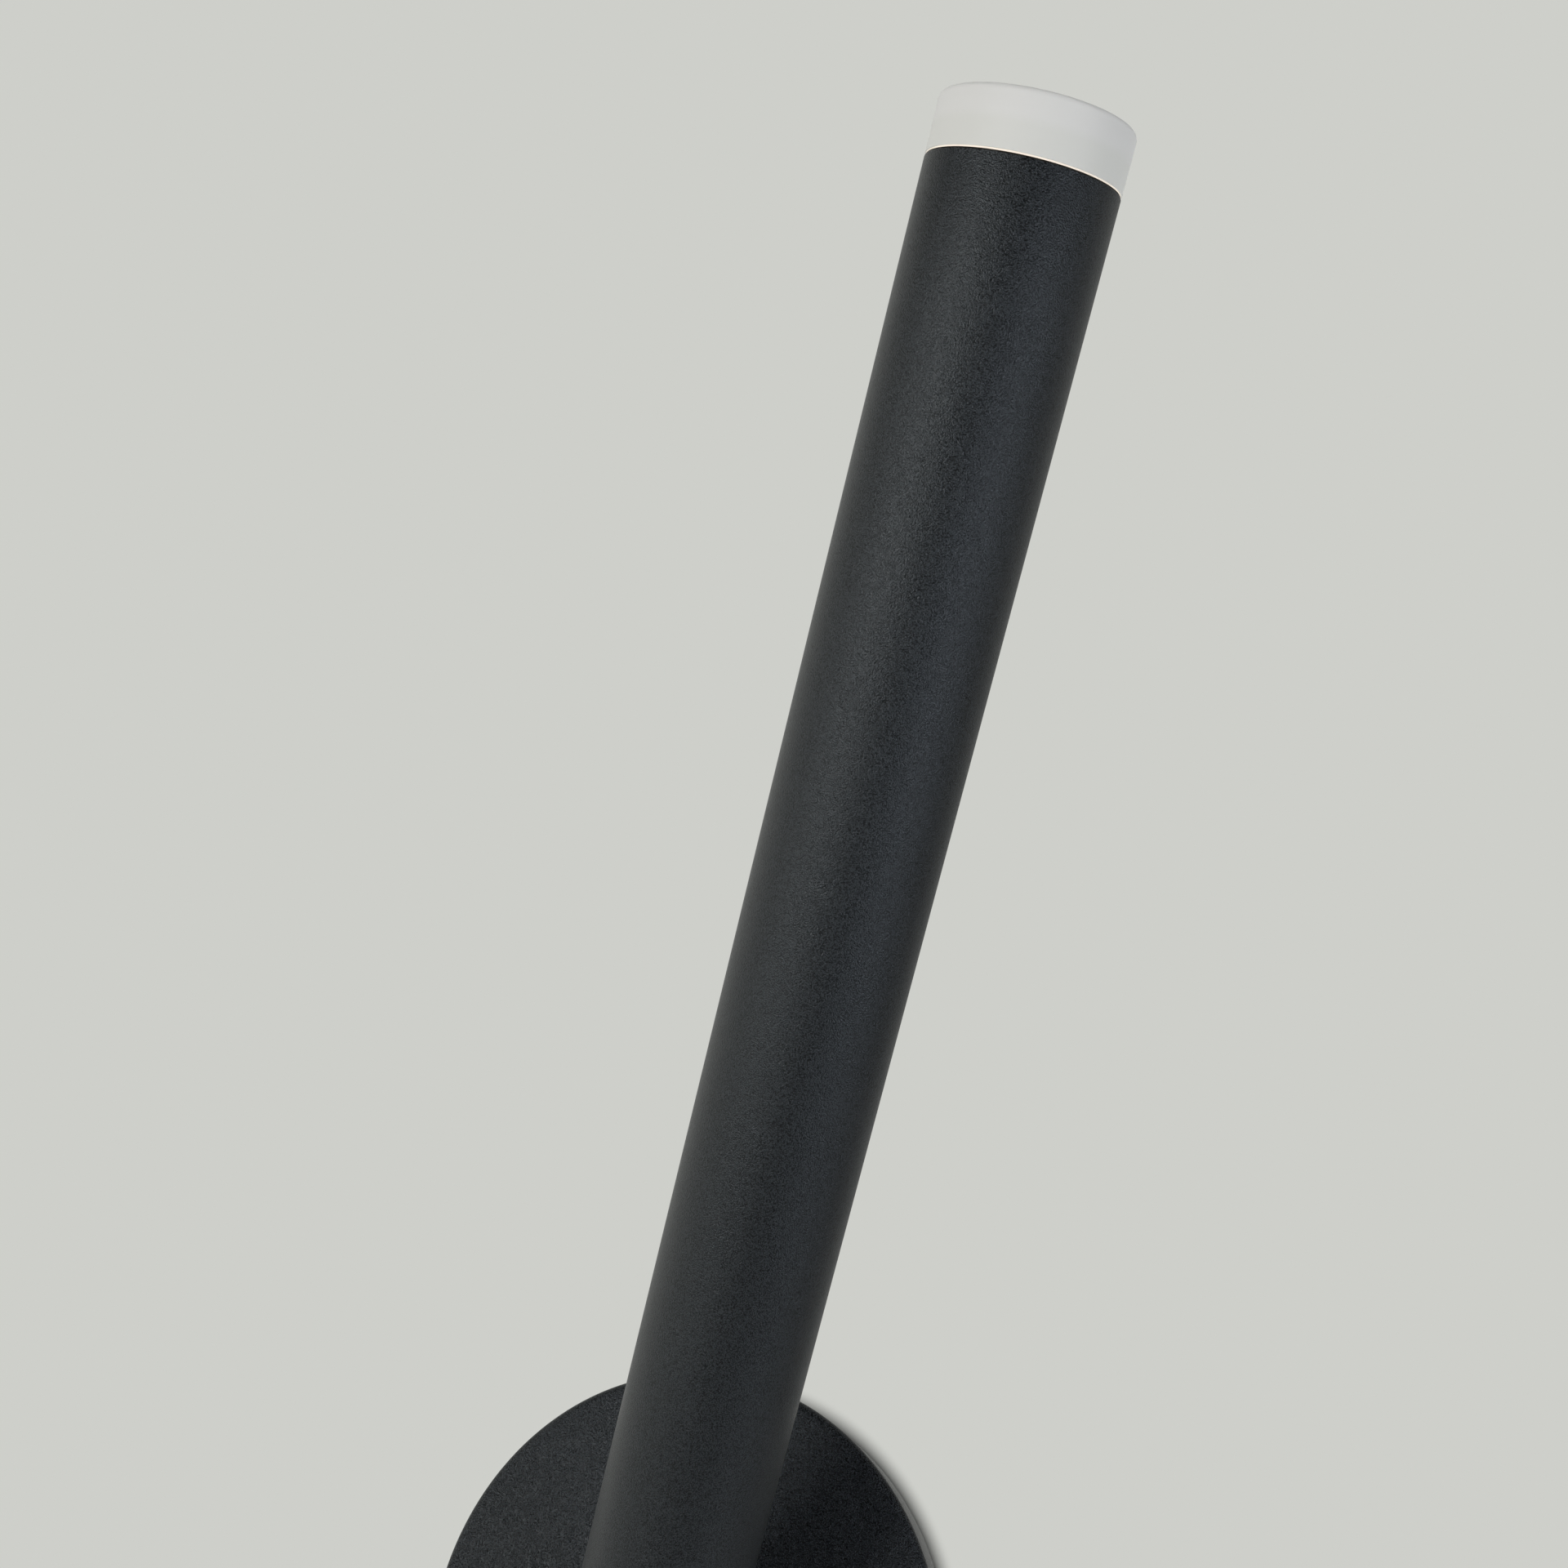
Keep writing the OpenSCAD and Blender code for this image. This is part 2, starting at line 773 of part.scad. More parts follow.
// Canopy: a cup with a rounded front edge
module canopy() {
    color(paint)
    on_wall()
        difference() {
            rotate_extrude()
                difference() {
                    union() {
                        square([canopy_r, canopy_depth - canopy_edge]);
                        square([canopy_r - canopy_edge, canopy_depth]);
                        translate([canopy_r - canopy_edge, canopy_depth - canopy_edge])
                            circle(r = canopy_edge);
                    }
                    translate([-over, -over])
                        square([inner_r + over, face_in + over]);
                }
            cylinder(d = bush_d + 2 * run_gap, h = canopy_depth + over);
            translate([0, 0, side_screw_out])
                along_x()
                    cylinder(d = side_screw_d + 2 * slip_gap, h = canopy_d + over, center = true);
            translate([0, -stop_circle_r, face_in - over])
                cylinder(d = stop_pin_d, h = over + canopy_face / 2);
        }
}

// Screws through the canopy's sides into the plate's tabs
module canopy_screws() {
    color(paint)
    on_wall()
        for (side = [-1, 1])
            translate([side * canopy_r, 0, side_screw_out])
                rotate([0, side * 90, 0])
                    pan_screw(side_screw_d, side_screw_l);
}

// Flanged bush that lines the hole in the canopy's face
module swivel_bush() {
    color(white_plastic)
    on_wall()
        difference() {
            union() {
                translate([0, 0, face_in])
                    cylinder(d = bush_d, h = canopy_face + bush_t);
                translate([0, 0, canopy_depth])
                    cylinder(d = bush_flange_d, h = bush_t);
            }
            translate([0, 0, face_in - over])
                cylinder(d = shank_d + 2 * run_gap, h = canopy_face + bush_t + 2 * over);
        }
}

// Stop pin riveted in the canopy's face
module stop_pin() {
    color(zinc)
    on_wall()
        translate([0, -stop_circle_r, stop_pin_back])
            cylinder(d = stop_pin_d, h = face_in - stop_pin_back + canopy_face / 2);
}

// Swivel post: threaded shank, flange and the tongue with its eye
module swivel_post() {
    color(paint)
    on_swivel()
        difference() {
            union() {
                translate([0, 0, shank_end])
                    difference() {
                        cylinder(d = shank_d, h = post_seat + flange_t / 2 - shank_end);
                        translate([-shank_d, shank_d * flat_share, -over])
                            cube([2 * shank_d, shank_d, thrust_back + over - shank_end]);
                    }
                translate([0, 0, post_seat]) {
                    cylinder(d = flange_d, h = flange_t - neck_taper);
                    translate([0, 0, flange_t - neck_taper])
                        cylinder(d1 = flange_d, d2 = flange_d - 2 * neck_taper, h = neck_taper);
                }
                intersection() {
                    translate([0, 0, post_seat])
                        cylinder(d = tongue_d, h = pin_out - post_seat);
                    translate([-tongue_t / 2, -tongue_d, post_seat])
                        cube([tongue_t, 2 * tongue_d, pin_out - post_seat]);
                }
                translate([0, 0, pin_out])
                    along_x()
                        cylinder(d = tongue_d, h = tongue_t, center = true);
            }
            translate([0, 0, pin_out])
                along_x()
                    cylinder(d = sleeve_d + 2 * run_gap, h = tongue_t + 2 * over, center = true);
            translate([0, 0, shank_end - over])
                cylinder(d = wire_bore_d, h = window_out + over - shank_end);
            translate([0, 0, window_out])
                rotate([-90, 0, 0])
                    cylinder(d = wire_bore_d, h = tongue_d);
        }
}

// Plain washer against the inside of the canopy's face
module thrust_washer() {
    color(zinc)
    on_swivel()
        translate([0, 0, thrust_back])
            ring(thrust_d, shank_d + 2 * slip_gap, thrust_t);
}

// Waved spring washer that keeps the swivel tight
module wave_washer() {
    radii = [shank_d / 2 + clear_gap, thrust_d / 2 - clear_gap];
    lift = (wave_h - wave_t) / 2;
    verts = [for (i = [0:wave_steps - 1])
        let (turn = i * 360 / wave_steps, mid = wave_back + wave_h / 2 + lift * cos(wave_count * turn))
        each [for (corner = [[0, -1], [1, -1], [1, 1], [0, 1]])
            [radii[corner[0]] * cos(turn), radii[corner[0]] * sin(turn), mid + corner[1] * wave_t / 2]]];
    faces = [for (i = [0:wave_steps - 1]) for (k = [0:3])
        let (a = i * 4 + k, b = i * 4 + (k + 1) % 4, n = 4 * wave_steps)
        each [[a, b, (b + 4) % n], [a, (b + 4) % n, (a + 4) % n]]];
    color(zinc)
    on_swivel()
        polyhedron(verts, faces);
}

// Washer keyed to the shank, with the lug that meets the stop pin
module stop_washer() {
    color(zinc)
    on_swivel()
        translate([0, 0, stop_back])
            difference() {
                union() {
                    cylinder(r = stop_ring_r, h = stop_t);
                    translate([-lug_w / 2, 0, 0])
                        cube([lug_w, stop_circle_r + stop_pin_d / 2, stop_t]);
                }
                translate([0, 0, -over])
                    intersection() {
                        cylinder(d = shank_d + 2 * slip_gap, h = stop_t + 2 * over);
                        translate([-shank_d, -2 * shank_d + shank_d * flat_share + slip_gap, 0])
                            cube([2 * shank_d, 2 * shank_d, stop_t + 2 * over]);
                    }
            }
}

// Lock nut on the end of the shank
module swivel_nut() {
    color(zinc)
    on_swivel()
        translate([0, 0, nut_back])
            difference() {
                intersection() {
                    cylinder(r = nut_af / sqrt(3), h = nut_h, $fn = drive_hex);
                    cylinder(d = nut_af * nut_round_share, h = nut_h);
                }
                translate([0, 0, -over])
                    cylinder(d = shank_d + 2 * thread_gap, h = nut_h + 2 * over);
            }
}

// Space that the tongue sweeps in the tube's lower end
module tongue_slot() {
    translate([-cheek_gap / 2, 0, -tube_tail - over])
        cube([cheek_gap, tube_r + over, slot_top + tube_tail + over]);
    translate([-cheek_gap / 2, -slot_r, -tube_tail - over])
        cube([cheek_gap, slot_r + over, tube_tail + over]);
    along_x()
        cylinder(r = slot_r, h = cheek_gap, center = true);
}

// Holes on the tilt axis, for the sleeve and the two heads
module tilt_holes() {
    along_x() {
        cylinder(d = sleeve_d + 2 * run_gap, h = 2 * tube_d, center = true);
        for (side = [0, 180])
            rotate([side, 0, 0])
                translate([0, 0, head_seat])
                    cylinder(d = pin_head_d + 2 * slip_gap, h = tube_r);
    }
}

// Places of the screws that hold the joint block, on the tube's rear
module at_block_screws() {
    for (i = [0, 1])
        translate([0, tube_r - screw_sink, block_screw_first + i * block_screw_pitch])
            rotate([-90, 0, 0])
                children();
}

// Place of the screw that holds the heat sink, on the tube's rear
module at_sink_screw() {
    translate([0, tube_r - screw_sink, sink_base + sink_l / 2])
        rotate([-90, 0, 0])
            children();
}

// Lamp tube
module tube() {
    color(paint)
    on_tube()
        difference() {
            translate([0, 0, tube_start])
                ring(tube_d, 2 * bore_r, rim - tube_start);
            tongue_slot();
            tilt_holes();
            at_block_screws()
                screw_seat(block_screw_d, block_screw_l, block_screw_head_d);
            at_sink_screw()
                screw_seat(sink_screw_d, sink_screw_l, 2 * sink_screw_d);
        }
}

// Hole and countersink for a flush screw
module screw_seat(d, l, head) {
    head_h = (head - d) / 2;
    translate([0, 0, -l - over])
        cylinder(d = d, h = l + 2 * over);
    translate([0, 0, -head_h])
        cylinder(d1 = d, d2 = head, h = head_h);
    cylinder(d = head, h = over);
}

// Joint block: end flange, slotted body and wire hole
module joint_block() {
    color(paint)
    on_tube()
        difference() {
            union() {
                translate([0, 0, -tube_tail])
                    cylinder(d = tube_d, h = end_flange_t);
                translate([0, 0, -tube_tail + end_flange_t / 2])
                    cylinder(r = block_r, h = tube_tail - end_flange_t / 2 + block_rise);
            }
            tongue_slot();
            tilt_holes();
            at_block_screws()
                screw_seat(block_screw_d, block_screw_l, block_screw_head_d);
            translate([0, block_wire_y, 0])
                cylinder(d = block_wire_d, h = block_rise + over);
        }
}

// Countersunk screws through the tube's rear into the joint block
module block_screws() {
    color(zinc)
    on_tube()
        at_block_screws()
            flush_screw(block_screw_d, block_screw_l, block_screw_head_d);
}

// Sleeve nut that the tongue turns on
module tilt_sleeve() {
    color(zinc)
    on_tube()
        along_x()
            difference() {
                union() {
                    translate([0, 0, -pin_face])
                        cylinder(d = pin_head_d, h = pin_head_h);
                    translate([0, 0, -pin_face])
                        cylinder(d = sleeve_d, h = pin_face + sleeve_reach);
                }
                translate([0, 0, -bolt_reach - over])
                    cylinder(d = bolt_d + 2 * thread_gap, h = bolt_reach + 2 * over + sleeve_reach);
                translate([0, 0, -pin_face - over])
                    cylinder(d = pin_head_d * socket_share, h = over + pin_head_h / 2, $fn = drive_hex);
            }
}

// Bolt that draws the sleeve and the cheeks together
module tilt_bolt() {
    color(zinc)
    on_tube()
        along_x()
            difference() {
                union() {
                    translate([0, 0, bolt_head_seat])
                        cylinder(d = pin_head_d, h = pin_face - bolt_head_seat);
                    translate([0, 0, -bolt_reach])
                        cylinder(d = bolt_d, h = bolt_reach + bolt_head_seat + over);
                }
                translate([0, 0, pin_face - pin_head_h / 2])
                    cylinder(d = pin_head_d * socket_share, h = pin_head_h, $fn = drive_hex);
            }
}

// Spring washer under the head of the tilt bolt
module tilt_washer() {
    color(zinc)
    on_tube()
        along_x()
            translate([0, 0, head_seat])
                ring(pin_head_d - 2 * slip_gap, bolt_d + 2 * slip_gap, tilt_washer_t);
}

// Fibre discs on each side of the tongue
module friction_discs() {
    color(fibre)
    on_tube()
        along_x()
            for (side = [0, 180])
                rotate([side, 0, 0])
                    translate([0, 0, tongue_t / 2 + run_gap / 2])
                        ring(disc_d, sleeve_d + 2 * slip_gap, disc_t);
}

// Finned heat sink inside the tube
module heat_sink() {
    color(bare_metal)
    on_tube()
        difference() {
            translate([0, 0, sink_base])
                cylinder(r = spigot_r, h = sink_l);
            translate([0, 0, sink_base - over])
                cylinder(d = sink_wire_d, h = sink_l + 2 * over);
            for (i = [0:sink_fins - 1])
                rotate([0, 0, (i + 0.5) * 360 / sink_fins + 90])
                    translate([spigot_r * sink_core_share, -fin_gap_w / 2, sink_base - over])
                        cube([spigot_r, fin_gap_w, sink_l - sink_cap + over]);
            at_sink_screw()
                screw_seat(sink_screw_d, sink_screw_l, 2 * sink_screw_d);
            at_board_screws()
                translate([0, 0, -board_screw_l])
                    cylinder(d = board_screw_d, h = board_screw_l + over);
        }
}

// Screw through the tube's rear into the heat sink
module sink_screw() {
    color(zinc)
    on_tube()
        at_sink_screw()
            flush_screw(sink_screw_d, sink_screw_l, 2 * sink_screw_d);
}

module at_board_screws() {
    for (turn = [0, 180])
        rotate([0, 0, turn])
            translate([source_r, 0, board_base + board_t])
                children();
}

// Round board of the light source
module led_board() {
    color(white_plastic)
    on_tube()
        difference() {
            translate([0, 0, board_base])
                cylinder(r = spigot_r - slip_gap, h = board_t);
            at_board_screws()
                translate([0, 0, -board_t - over])
                    cylinder(d = board_screw_d + 2 * slip_gap, h = board_t + 2 * over);
        }
}

// Light-emitting chips on the board
module led_chips() {
    color(phosphor)
    on_tube()
        for (i = [0:chip_count - 1])
            rotate([0, 0, 45 + i * 360 / chip_count])
                translate([source_r, 0, board_base + board_t + chip_t / 2])
                    cube([chip_w, chip_w, chip_t], center = true);
}

// Screws that hold the board on the heat sink
module board_screws() {
    color(zinc)
    on_tube()
        at_board_screws()
            pan_screw(board_screw_d, board_screw_l);
}

// Conical reflector between the board and the diffuser
module reflector() {
    color(white_plastic)
    on_tube()
        difference() {
            translate([0, 0, reflector_base])
                cylinder(r = spigot_r - slip_gap, h = reflector_h);
            translate([0, 0, reflector_base - over])
                cylinder(r = reflector_throat_r, h = 2 * over);
            translate([0, 0, reflector_base + over / 2])
                cylinder(r1 = reflector_throat_r, r2 = reflector_mouth_r, h = reflector_h - over / 2);
            translate([0, 0, reflector_base + reflector_h - over / 4])
                cylinder(r = reflector_mouth_r, h = over);
        }
}

// Frosted diffuser: rounded cap with a spigot in the tube
module diffuser() {
    color(frosted)
    on_tube()
        translate([0, 0, cap_base])
            rotate_extrude()
                difference() {
                    union() {
                        square([tube_r, cap_h - cap_edge]);
                        square([tube_r - cap_edge, cap_h]);
                        translate([tube_r - cap_edge, cap_h - cap_edge])
                            circle(r = cap_edge);
                        translate([0, -gasket_t - spigot_l])
                            square([spigot_r, spigot_l + gasket_t + over]);
                    }
                    translate([-over, 0])
                        square([cap_cavity_r + over, cap_h - cap_lid]);
                    translate([-over, -gasket_t - spigot_l - over])
                        square([reflector_mouth_r + over, spigot_l + gasket_t + 2 * over]);
                    translate([-2 * tube_r, -2 * tube_r])
                        square([2 * tube_r, 4 * tube_r]);
                }
}

// Thin pale gasket that shows as a line at the tube's rim
module diffuser_gasket() {
    color(cream)
    on_tube()
        translate([0, 0, rim])
            ring(tube_d - 2 * gasket_inset, 2 * spigot_r + 2 * slip_gap, gasket_t);
}

// Sheathed lead inside the tube, from the joint block to the board
module tube_lead() {
    low = slot_top + lead_d;
    color(rubber_black)
    on_tube()
        lead([
            [0, block_wire_y, low],
            [0, block_wire_y, block_rise],
            [0, block_wire_y / 2, block_rise + (sink_base - block_rise) / 3],
            [0, 0, sink_base - lead_d * 2],
            [0, 0, sink_base],
            [0, 0, board_base]
        ], lead_d, [1, 0, 0]);
}

wall_plate();
cable_grommet();
terminal_block();
terminal_inserts();
terminal_screws();
terminal_fixing_screw();
earth_screw();
earth_tag();
earth_lead();
input_leads();
driver_case();
driver_cover();
driver_board();
driver_screws();
output_lead();
canopy();
canopy_screws();
swivel_bush();
stop_pin();
swivel_post();
thrust_washer();
wave_washer();
stop_washer();
swivel_nut();
tube();
joint_block();
block_screws();
tilt_sleeve();
tilt_bolt();
tilt_washer();
friction_discs();
heat_sink();
sink_screw();
led_board();
led_chips();
board_screws();
reflector();
diffuser();
diffuser_gasket();
tube_lead();
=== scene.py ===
"""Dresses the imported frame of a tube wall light: its turned and cut pieces, their finishes and the stage."""

import json
import math

import bmesh
import bpy
from bpy.props import FloatProperty, FloatVectorProperty, PointerProperty
from bpy.types import Operator, Panel, PropertyGroup
from mathutils import Matrix, Vector


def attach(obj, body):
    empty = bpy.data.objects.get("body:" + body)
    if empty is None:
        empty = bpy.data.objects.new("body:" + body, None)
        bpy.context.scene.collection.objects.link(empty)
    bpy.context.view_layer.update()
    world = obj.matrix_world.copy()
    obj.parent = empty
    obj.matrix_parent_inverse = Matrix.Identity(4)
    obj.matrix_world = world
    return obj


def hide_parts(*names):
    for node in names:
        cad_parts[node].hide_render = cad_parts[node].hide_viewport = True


bl_info = {
    "name": "Tube wall light",
    "version": (1, 0, 0),
    "blender": (4, 5, 0),
    "location": "View3D > Sidebar > Wall light",
    "description": "Makes the pieces, finishes and stage of a tube wall light around its packed frame",
    "category": "Object",
}

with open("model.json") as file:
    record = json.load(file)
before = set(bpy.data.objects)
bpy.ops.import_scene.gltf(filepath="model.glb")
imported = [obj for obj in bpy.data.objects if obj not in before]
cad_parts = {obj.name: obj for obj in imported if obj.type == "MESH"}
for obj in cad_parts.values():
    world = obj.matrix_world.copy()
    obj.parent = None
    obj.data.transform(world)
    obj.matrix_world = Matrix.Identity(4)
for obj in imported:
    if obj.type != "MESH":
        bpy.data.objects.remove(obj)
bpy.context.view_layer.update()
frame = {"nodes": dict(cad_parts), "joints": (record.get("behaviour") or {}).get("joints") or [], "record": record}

MM = 0.001
NEAR = 2e-6
OVER = 1 * MM
TURN_SIDES = 128
DRIVE_SIDES = 6

# Where the pieces stand: out of the wall, along the swivel post, and along the tube
TILT = next(joint for joint in frame["joints"] if joint["name"] == "tilt")
REST_TURN = math.atan2(-TILT["axis"][2], TILT["axis"][0])
REST_LEAN = -math.radians(TILT["range_deg"][0])
PIN_OUT = -TILT["pos_m"][1]
ALONG_X = Matrix.Rotation(math.radians(90), 4, "Y")
TO_REAR = Matrix.Rotation(math.radians(-90), 4, "X")
ON_WALL = Matrix.Rotation(math.radians(90), 4, "X")
ON_POST = ON_WALL @ Matrix.Rotation(-REST_TURN, 4, "Z")
ON_TUBE = (
    Matrix.Rotation(REST_TURN, 4, "Y")
    @ Matrix.Translation(TILT["pos_m"])
    @ Matrix.Rotation(REST_LEAN, 4, "X")
)

RECORD = frame["record"]
SLOTS = {part["node"]: part["material_slot"] for part in RECORD["subparts"]}
BODIES = {node: body for body, nodes in RECORD["behaviour"]["bodies"].items() for node in nodes}


def measured(node, place):
    """Lowest and highest corner of a CAD node along the axes of a place."""
    back = place.inverted()
    points = [back @ vertex.co for vertex in frame["nodes"][node].data.vertices]
    return tuple(Vector(pick(p[i] for p in points) for i in range(3)) for pick in (min, max))


CANOPY_HIGH = measured("canopy", ON_WALL)[1]
PLATE_HIGH = measured("wall_plate", ON_WALL)[1]
GROMMET_HIGH = measured("cable_grommet", ON_WALL)[1]
BUSH_LOW, BUSH_HIGH = measured("swivel_bush", ON_WALL)
POST_LOW = measured("swivel_post", ON_POST)[0]
TUBE_LOW, TUBE_HIGH = measured("tube", ON_TUBE)
BLOCK_LOW, BLOCK_HIGH = measured("joint_block", ON_TUBE)
CAP_LOW, CAP_HIGH = measured("diffuser", ON_TUBE)
GASKET_LOW, GASKET_HIGH = measured("diffuser_gasket", ON_TUBE)
REFLECTOR_LOW, REFLECTOR_HIGH = measured("reflector", ON_TUBE)
SINK_LOW, SINK_HIGH = measured("heat_sink", ON_TUBE)


def size(name, description, default):
    return FloatProperty(name=name, description=description, default=default, min=0, unit="LENGTH", precision=4)


def colour(name, description, default):
    return FloatVectorProperty(
        name=name, description=description, default=default, min=0, max=1, size=3, subtype="COLOR"
    )


def share(name, description, default):
    return FloatProperty(name=name, description=description, default=default, min=0, max=1, subtype="FACTOR")


class WALL_LIGHT_PG_canopy(PropertyGroup):
    """Sizes of the canopy, its plate and its screws."""

    radius: size("Radius", "Outer radius of the canopy", CANOPY_HIGH.x)
    depth: size("Depth", "Depth of the canopy from the wall", CANOPY_HIGH.z)
    wall: size("Wall", "Thickness of the canopy's side wall", 1.5 * MM)
    face: size("Face", "Thickness of the canopy's front face", 2 * MM)
    edge: size("Edge radius", "Radius of the rounded front edge", 1.8 * MM)
    hole: size("Centre hole radius", "Radius of the hole for the bush", 6.3 * MM)
    screw: size("Side screw radius", "Radius of the side screws", 2 * MM)
    screw_out: size("Side screw height", "Distance of the side screws from the wall", 9 * MM)


class WALL_LIGHT_PG_plate(PropertyGroup):
    """Sizes of the wall plate and its grommet."""

    thick: size("Thickness", "Thickness of the plate and its tabs", 1.5 * MM)
    hole: size("Cable hole radius", "Radius of the cable hole", 8 * MM)
    slot_long: size("Slot length", "Length of a screw slot, end to end", 12 * MM)
    slot_wide: size("Slot width", "Width of a screw slot", 5 * MM)
    slot_out: size("Slot distance", "Distance of the slots from the middle", 35 * MM)
    tab_wide: size("Tab width", "Width of the side tabs", 14 * MM)
    tab_face: size("Tab face", "Distance of the tabs' outer faces from the middle", 49.2 * MM)
    bore: size("Grommet bore", "Radius of the grommet's bore", 4.25 * MM)
    flange: size("Grommet radius", "Radius of the grommet's flange", 10 * MM)
    flange_high: size("Grommet flange", "Thickness of the grommet's flange", 1.6 * MM)
    lip: size("Grommet lip", "Radius of the grommet's narrow end", 6.25 * MM)


class WALL_LIGHT_PG_post(PropertyGroup):
    """Sizes of the swivel post."""

    flange: size("Flange radius", "Radius of the post's flange", 13 * MM)
    flange_high: size("Flange thickness", "Thickness of the post's flange", 3.5 * MM)
    shank: size("Shank radius", "Radius of the shank in the canopy", 5 * MM)
    tongue: size("Tongue radius", "Radius of the tongue's eye", 7 * MM)
    tongue_wide: size("Tongue thickness", "Thickness of the tongue", 8 * MM)
    bore: size("Wire bore radius", "Radius of the wire bore", 2.5 * MM)


class WALL_LIGHT_PG_tube(PropertyGroup):
    """Sizes of the tube, its joint block and its light end."""

    radius: size("Radius", "Outer radius of the tube", TUBE_HIGH.x)
    wall: size("Wall", "Thickness of the tube's wall", 1.5 * MM)
    slot_wide: size("Slot width", "Width of the slot that the tongue sweeps", 9.3 * MM)
    slot_round: size("Slot radius", "Radius of the slot's round end", 7.6 * MM)
    slot_high: size("Slot height", "Height of the rear slot above the tilt pin", 11.5 * MM)
    pin: size("Pin radius", "Radius of the tilt pin", 3 * MM)
    pin_head: size("Pin head radius", "Radius of the heads on the tilt pin", 4.5 * MM)
    pin_face: size("Pin face", "Distance of the heads' faces from the tube's middle", 14.3 * MM)
    screw: size("Rear screw radius", "Radius of the countersunk rear screws", 1.5 * MM)
    screw_face: size("Rear screw face", "Distance of the rear screws' faces from the tube's middle", 14.6 * MM)
    cap_wall: size("Diffuser wall", "Thickness of the diffuser's rim", 2.4 * MM)
    cap_lid: size("Diffuser lid", "Thickness of the diffuser's end", 4.4 * MM)
    cap_edge: size("Diffuser edge", "Radius of the diffuser's rounded edge", 1 * MM)


class WALL_LIGHT_PG_finish(PropertyGroup):
    """Colours and textures of the finishes."""

    coat: colour("Powder coat", "Colour of the textured powder coat", (0.0185, 0.0210, 0.0235))
    coat_rough: share("Coat roughness", "Roughness of the powder coat between its grains", 0.3)
    coat_grain: size("Coat grain", "Width of the grains in the powder coat", 0.26 * MM)
    coat_relief: size("Coat relief", "Height of the grains in the powder coat", 0.105 * MM)
    frosted: colour("Frosted plastic", "Colour of the diffuser", (0.52, 0.52, 0.51))
    # Painted light: emission that stands for the light the unlit diffuser passes on, more in the solid lid than in
    # the hollow skirt.
    skirt_painted_light: colour("Skirt glow", "Light that the diffuser's hollow skirt passes on", (0.243, 0.247, 0.229))
    lid_painted_light: colour("Lid glow", "Light that the diffuser's solid lid passes on", (0.252, 0.252, 0.245))
    cream: colour("Gasket", "Colour of the pale gasket", (0.60, 0.55, 0.48))
    # Painted light: emission on the pale gasket, which is no lamp.
    cream_painted_light: colour("Gasket glow", "Light that the pale gasket passes on", (0.56, 0.50, 0.43))
    # Painted shadow: the colour of the dark band in the gap between the gasket and the tube.
    seam: colour("Seam", "Colour of the dark seam under the gasket", (0.012, 0.006, 0.002))
    zinc: colour("Zinc plate", "Colour of the zinc-plated steel", (0.56, 0.57, 0.58))
    dark_steel: colour("Blackened steel", "Colour of the blackened steel", (0.035, 0.036, 0.04))
    backdrop: colour("Wall and backdrop", "Colour of the wall and the floor", (0.617, 0.624, 0.591))


class WALL_LIGHT_PG_settings(PropertyGroup):
    """All sizes and colours of the wall light."""

    canopy: PointerProperty(type=WALL_LIGHT_PG_canopy)
    plate: PointerProperty(type=WALL_LIGHT_PG_plate)
    post: PointerProperty(type=WALL_LIGHT_PG_post)
    tube: PointerProperty(type=WALL_LIGHT_PG_tube)
    finish: PointerProperty(type=WALL_LIGHT_PG_finish)


# Shapes


def turned(outline, sides=TURN_SIDES):
    """A solid turned about Z from (radius, height, rounding) points, with its ring edges rounded."""
    solid = bmesh.new()
    points = [solid.verts.new((radius, 0, height)) for radius, height, _ in outline]
    ends = [] if outline[0][0] == 0 else [(points[-1], points[0])]
    edges = [solid.edges.new(pair) for pair in list(zip(points, points[1:])) + ends]
    bmesh.ops.spin(
        solid,
        geom=points + edges,
        cent=(0, 0, 0),
        axis=(0, 0, 1),
        dvec=(0, 0, 0),
        angle=math.tau,
        steps=sides,
        use_merge=True,
        use_duplicate=False,
    )
    bmesh.ops.remove_doubles(solid, verts=solid.verts, dist=NEAR)
    bmesh.ops.recalc_face_normals(solid, faces=solid.faces)
    for radius, height, rounding in outline:
        if not rounding:
            continue
        ring = [
            edge
            for edge in solid.edges
            if all(
                abs(math.hypot(v.co.x, v.co.y) - radius) < NEAR and abs(v.co.z - height) < NEAR
                for v in edge.verts
            )
        ]
        bmesh.ops.bevel(
            solid,
            geom=ring,
            offset=rounding,
            offset_type="OFFSET",
            segments=6 if rounding > 0.7 * MM else 3,
            profile=0.5,
            affect="EDGES",
            material=-1,
        )
    return solid


def rod(radius, length, place, sides=TURN_SIDES // 2, far_radius=None):
    """A straight or tapered rod along the place's Z, from its origin."""
    solid = bmesh.new()
    bmesh.ops.create_cone(
        solid,
        cap_ends=True,
        segments=sides,
        radius1=radius,
        radius2=radius if far_radius is None else far_radius,
        depth=length,
        matrix=place @ Matrix.Translation((0, 0, length / 2)),
    )
    return solid


def washer(bore, outer, low, high, rounding=0.1 * MM):
    """A flat ring with softened edges."""
    corners = ((bore, low), (outer, low), (outer, high), (bore, high))
    return turned([(radius, height, rounding) for radius, height in corners], TURN_SIDES // 2)


def bar(low, high, place=Matrix.Identity(4)):
    """A square bar between two corners."""
    low, high = Vector(low), Vector(high)
    solid = bmesh.new()
    bmesh.ops.create_cube(
        solid, size=1, matrix=place @ Matrix.Translation((low + high) / 2) @ Matrix.Diagonal((*(high - low), 1))
    )
    return solid


def loose(name, solid):
    """A temporary object from a solid."""
    mesh = bpy.data.meshes.new(name)
    solid.to_mesh(mesh)
    solid.free()
    made = bpy.data.objects.new(name, mesh)
    bpy.context.scene.collection.objects.link(made)
    return made


def discard(made):
    mesh = made.data
    bpy.data.objects.remove(made)
    bpy.data.meshes.remove(mesh)


